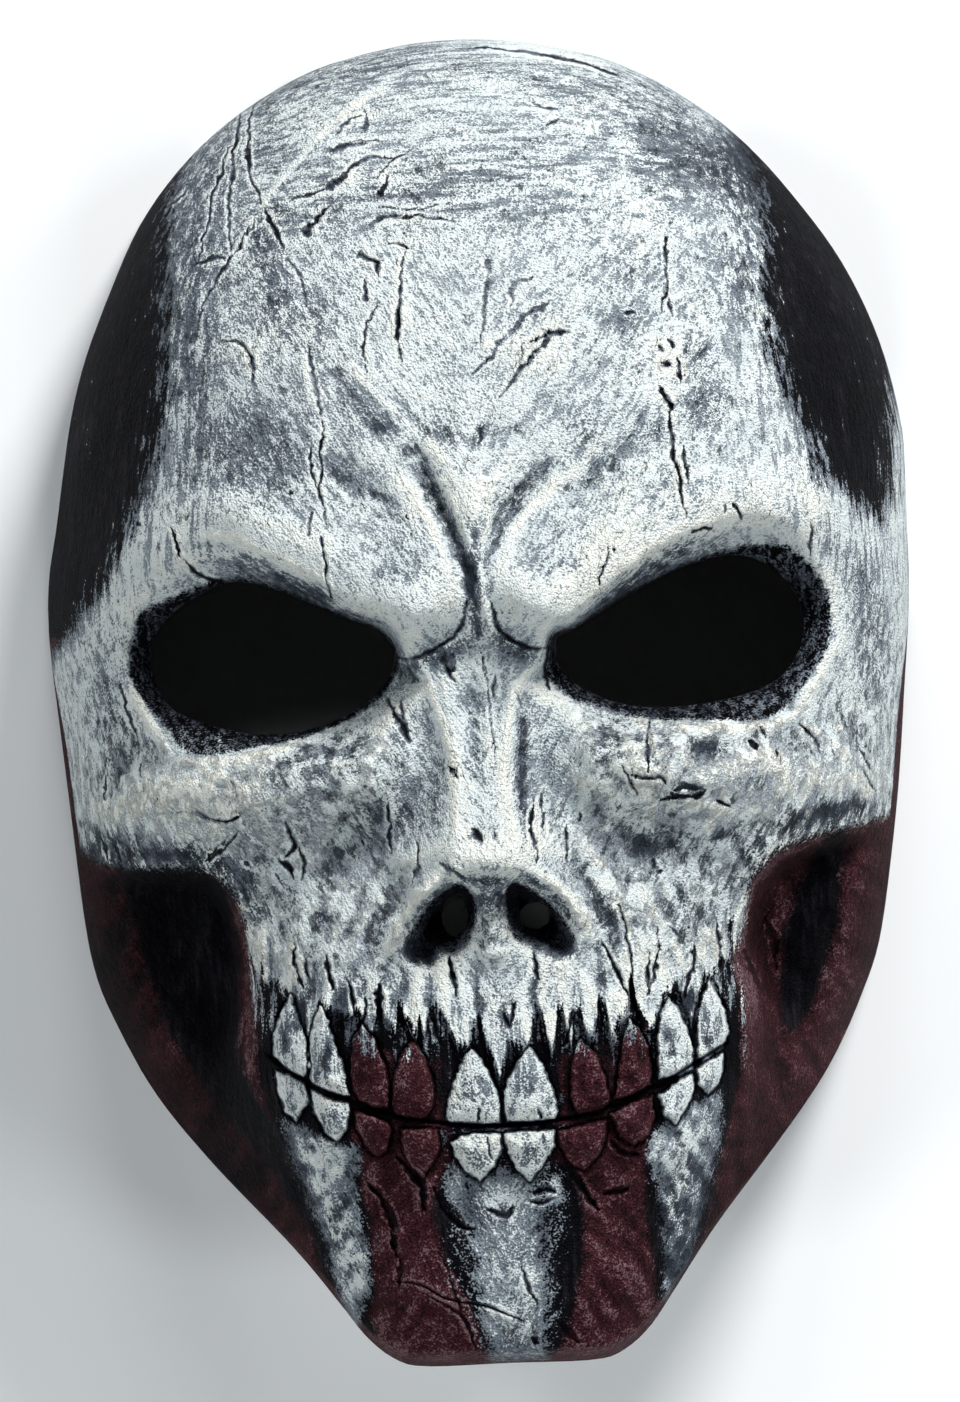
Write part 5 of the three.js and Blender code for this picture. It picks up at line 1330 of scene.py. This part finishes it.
class Shader:
    """A material's node tree, with short ways to add to it."""

    def __init__(self, name):
        self.material = bpy.data.materials.new(name)
        self.material.use_nodes = True
        self.tree = self.material.node_tree
        self.surface = self.tree.nodes["Principled BSDF"]
        self.place = self.add("ShaderNodeTexCoord").outputs["Object"]

    def add(self, kind, inputs=None, **settings):
        made = self.tree.nodes.new(kind)
        for name, value in settings.items():
            setattr(made, name, value)
        for key, value in (inputs or {}).items():
            self.put(made.inputs[key], value)
        return made

    def put(self, socket, value):
        if isinstance(value, bpy.types.NodeSocket):
            self.tree.links.new(value, socket)
        else:
            socket.default_value = value

    def field(self, name):
        return self.add("ShaderNodeAttribute", attribute_name=name).outputs["Fac"]

    def first(self, kind, inputs, **settings):
        """The first output of a new node."""
        return self.add(kind, inputs, **settings).outputs[0]

    def math(self, operation, a, b=0.0, c=0.0):
        return self.first("ShaderNodeMath", {0: a, 1: b, 2: c}, operation=operation)

    def total(self, *parts, start=0.0):
        """The sum of some values, each given with its factor, and a start."""
        result = start
        for value, factor in parts:
            result = self.math("MULTIPLY_ADD", value, factor, result)
        return result

    def product(self, a, b):
        return self.math("MULTIPLY", a, b)

    def stretched(self, scale, turn=0.0, mirror=False):
        """Coordinates stretched for brush marks, turned about Z, and the same on both halves if mirrored."""
        place = self.place
        if mirror:
            x, y, z = self.add("ShaderNodeSeparateXYZ", {0: place}).outputs
            place = self.first("ShaderNodeCombineXYZ", {0: self.math("ABSOLUTE", x), 1: y, 2: z})
        if turn:
            angle = math.radians(turn)
            place = self.first("ShaderNodeVectorRotate", {"Vector": place, "Angle": angle},
                               rotation_type="Z_AXIS")
        return self.first("ShaderNodeVectorMath", {0: place, 1: scale}, operation="MULTIPLY")

    def noise(self, size, place=None, detail=3.0, roughness=0.6, spread=1.0):
        """Noise with bumps about size mm across, centred on 0."""
        look = {"Scale": 1 / (size * MM), "Detail": detail, "Roughness": roughness}
        made = self.add("ShaderNodeTexNoise", {"Vector": place or self.place, **look})
        return self.total((made.outputs["Fac"], spread), start=-0.5 * spread)

    def step(self, value, low, high):
        return self.add("ShaderNodeMapRange", {"Value": value, "From Min": low, "From Max": high},
                        interpolation_type="SMOOTHSTEP").outputs["Result"]

    def inverted(self, value):
        return self.total((value, -1.0), start=1.0)

    def mix(self, share, a, b):
        return self.add("ShaderNodeMix", {0: share, 6: a, 7: b}, data_type="RGBA").outputs[2]

    def blend(self, share, a, b):
        return self.first("ShaderNodeMix", {0: share, 2: a, 3: b}, data_type="FLOAT")

    def ramp(self, value, stops):
        """A colour by value, through stops of place, red, green and blue."""
        made = self.add("ShaderNodeValToRGB", {0: value})
        elements = made.color_ramp.elements
        while len(elements) < len(stops):
            elements.new(0.5)
        for element, (place, *colour) in zip(elements, stops):
            element.position = place
            element.color = rgb(*colour)
        return made.outputs["Color"]

    def finish(self, colour, rough, specular, height=None, strength=0.0, depth=0.0):
        """Sets the surface, with relief of so many mm if a height is given."""
        look = {"Base Color": colour, "Roughness": rough, "Specular IOR Level": specular}
        if height is not None:
            relief = {"Height": height, "Strength": strength, "Distance": depth * MM}
            look["Normal"] = self.add("ShaderNodeBump", relief).outputs[0]
        for name, value in look.items():
            self.put(self.surface.inputs[name], value)
        return self.material


def rgb(*screen):
    """A colour as a screen shows it, from 0 to 255, in the linear values that shaders use."""
    return (*((v / 255 / 12.92) if v <= 10 else ((v / 255 + 0.055) / 1.055) ** 2.4 for v in screen), 1.0)


def painted_latex():
    shader = Shader("painted_latex")
    bone, red, dark, grey, cream, level, comb, flaky = [shader.field(name) for name in PAINT_FIELDS]

    # Marks of the brush, and noises from fine to broad
    upright = shader.noise(1.5, shader.stretched((1, 0.12, 0.5)), 2, 0.8)
    sideways = shader.noise(1.5, shader.stretched((0.12, 1, 0.5)), 2, 0.8)
    slanted = shader.noise(1.5, shader.stretched((1, 0.2, 0.5), 32, mirror=True), 2, 0.8)
    brush = shader.blend(level, shader.blend(comb, slanted, upright), sideways)
    grain = shader.noise(0.42, None, 0, 0.5)
    specks = shader.noise(1.0, None, 2, 0.7)
    patches = shader.noise(5, None, 4, 0.6)
    clouds = shader.noise(16, None, 2, 0.5)
    flecks = shader.total((brush, 2.9), (grain, 1.5), (specks, 1.2))

    # Where the white coat covers the grey one under it
    islands = shader.noise(4.6, shader.stretched((1, 0.6, 1), 32, mirror=True), 6, 0.72)
    islands = shader.total((shader.step(islands, -0.07, 0.03), 1.0), start=-0.55)
    flakes = shader.product(islands, shader.total((flaky, 0.95), start=0.15))
    thin = shader.inverted(shader.step(bone, -0.8, 1.6))
    combed = shader.product(brush, comb)
    cover = shader.total((flecks, 1), (combed, 1.3), (flakes, 1), (patches, 1.1), (clouds, 0.6),
                         (grey, -1.5), (cream, 0.15), (dark, -1.4), (thin, -1.4), start=0.4)
    coat = shader.step(cover, -0.05, 0.25)
    # The grey and cream fields darken and lighten both coats: painted shade in hollows and under forms,
    # painted highlight on ridges, besides the dark ground showing through.
    depth = shader.total((grey, 1), (cream, -0.06), (dark, 0.55), (thin, 0.35), (flecks, -0.3))
    under = shader.ramp(depth, (
        (0.0, 172, 180, 186), (0.2, 138, 147, 154), (0.45, 92, 99, 108), (0.8, 40, 43, 52)))
    lightness = shader.total((cream, 0.2), (grey, -0.7), (clouds, 1), (flecks, 0.25), start=0.45)
    over = shader.ramp(lightness, ((0.0, 184, 194, 197), (0.5, 214, 222, 223), (1.0, 230, 231, 223)))

    # Dark scratches through both
    scratch = shader.noise(2.2, shader.stretched((1, 0.4, 0.5), 28, mirror=True), 6, 0.8)
    scratch = shader.total((scratch, 1), (grey, 0.22), (flaky, 0.035), (patches, 0.25), (cream, -0.03))
    marks = shader.step(scratch, 0.13, 0.17)
    bone_colour = shader.mix(coat, under, over)
    bone_colour = shader.mix(shader.total((marks, 0.8)), bone_colour, rgb(52, 58, 68))

    # Black and red
    black_colour = shader.ramp(shader.total((upright, 2.2), (clouds, 1.2), start=0.4), (
        (0.0, 4, 4, 7), (0.5, 12, 12, 17), (1.0, 34, 32, 37)))
    # the red is darker where grey rises and lighter where cream rises: painted shade and highlight, the
    # shade heaviest beside the left jaw
    redness = shader.total((grain, 0.8), (specks, 1.1), (patches, 0.6), (cream, 0.1), (grey, -0.7),
                           start=0.62)
    red_colour = shader.ramp(redness, (
        (0.0, 8, 6, 8), (0.4, 42, 20, 24), (0.75, 68, 34, 39), (1.0, 118, 92, 98)))
    red_edge = shader.total((red, 1), (patches, 2.0), (flecks, 0.5))
    ground = shader.mix(shader.step(red_edge, -0.6, 0.6), black_colour, red_colour)

    # The frayed edge of the bone paint over them, and the black left in grooves
    streaks = shader.product(brush, shader.total((comb, 5.0), start=1.5))
    bone_edge = shader.total((bone, 1), (streaks, 1), (grain, 1.8), (specks, 1.8))
    painted = shader.mix(shader.step(bone_edge, -0.25, 0.3), ground, bone_colour)
    wrinkles = shader.noise(3.4, shader.stretched((1, 0.3, 0.5), 14, mirror=True), 3, 0.6)
    line = shader.inverted(shader.step(shader.math("ABSOLUTE", wrinkles), 0.008, 0.03))
    some_places = shader.step(shader.total((patches, 1), (clouds, 0.8)), -0.02, 0.1)
    hairline = shader.product(line, some_places)
    in_grooves = shader.total((dark, 1), (flecks, 0.4), (hairline, 0.7))
    colour = shader.mix(shader.step(in_grooves, 0.6, 1.05), painted, rgb(24, 25, 31))

    height = shader.total((brush, 1.5), (grain, 0.7), (specks, 1.1), (patches, 1.2), (coat, 0.14),
                          (hairline, -0.25), (flakes, 1.0), (marks, -0.5))
    rough = shader.total((specks, 0.3), start=0.75)
    return shader.finish(colour, rough, 0.04, height, 0.9, 0.9)


def bare_latex_dark_for_shade():
    """The unpainted inside: dark latex, its darkness also painted shade for what shows through the holes."""
    shader = Shader("bare_latex_dark_for_shade")
    clouds = shader.noise(9, None, 4, 0.6)
    grain = shader.noise(0.8, None, 3, 0.6)
    colour = shader.ramp(shader.total((clouds, 1.2), (grain, 0.6), start=0.5), (
        (0.0, 22, 21, 22), (1.0, 58, 54, 52)))
    return shader.finish(colour, 0.62, 0.3, shader.total((clouds, 1), (grain, 1)), 0.4, 0.8)


def floor_paper():
    shader = Shader("floor_paper")
    tone = shader.noise(60, None, 2, 0.5, 0.02)
    colour = shader.ramp(shader.total((tone, 1), start=0.5), ((0.0, 243, 244, 244), (1.0, 250, 250, 250)))
    return shader.finish(colour, 0.9, 0.1)


# Stage, in metres

HEAD_LEAN = 2.3                       # degrees that the head leans in the photo
VIEW_HEIGHT = 0.2804                  # what the picture takes in, top to bottom, at the level of the face
VIEW_LEVEL = 0.07
CAMERA_HEIGHT = 10.0
AIM = (-0.0006, -0.0002)
FLOOR_HALF = 3.0
RING_RADIUS = 1.4
RING_HEIGHT = 1.1
RING_POWER = ((25, 4.8), (90, 4.8), (155, 4.8), (215, 6.2), (270, 6.2), (325, 6.2))    # by azimuth


def make_floor():
    a = FLOOR_HALF
    mesh = bpy.data.meshes.new("floor")
    mesh.from_pydata([(-a, -a, 0), (a, -a, 0), (a, a, 0), (-a, a, 0)], [], [(0, 1, 2, 3)])
    mesh.materials.append(floor_paper())
    floor = in_scene("floor", mesh)


def make_camera():
    lens = bpy.data.cameras.new("camera")
    lens.sensor_fit = "VERTICAL"
    lens.sensor_height = 24.0
    lens.lens = lens.sensor_height * (CAMERA_HEIGHT - VIEW_LEVEL) / VIEW_HEIGHT
    lens.clip_end = 2 * CAMERA_HEIGHT
    camera = in_scene("camera", lens)
    camera.location = (*AIM, CAMERA_HEIGHT)
    camera.rotation_euler = (0, 0, math.radians(-HEAD_LEAN))
    bpy.context.scene.camera = camera


def make_light(name, place, size, power, colour=(1, 1, 1)):
    """A round soft light that faces the middle of the floor."""
    lamp = bpy.data.lights.new(name, "AREA")
    lamp.shape = "DISK"
    lamp.size = size
    lamp.energy = power
    lamp.color = colour
    light = in_scene(name, lamp)
    light.location = place
    x, y, z = place
    light.rotation_euler = (math.atan2(math.hypot(x, y), z), 0, math.atan2(x, -y))


def make_lights():
    """A key light from above the head, and a ring of soft ones.

    They stand low, in directions from which little light falls through the eye and breathing holes to where
    the camera sees the floor, so that the holes stay black.
    """
    make_light("key", (0.75, 1.5, 1.15), 0.6, 43)
    for azimuth, power in RING_POWER:
        turn = math.radians(azimuth)
        place = (RING_RADIUS * math.cos(turn), RING_RADIUS * math.sin(turn), RING_HEIGHT)
        make_light("ring", place, 0.4, power, (0.92, 0.97, 1.0))
    world = bpy.data.worlds.new("studio")
    world.use_nodes = True
    background = world.node_tree.nodes["Background"]
    background.inputs["Color"].default_value = (0.88, 0.95, 1.0, 1)
    background.inputs["Strength"].default_value = 0.03
    bpy.context.scene.world = world


make_camera()
make_lights()
make_floor()
mask = make_mask()
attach(mask, "root")
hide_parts("mask_shell")

bpy.context.scene.view_settings.view_transform = "Standard"
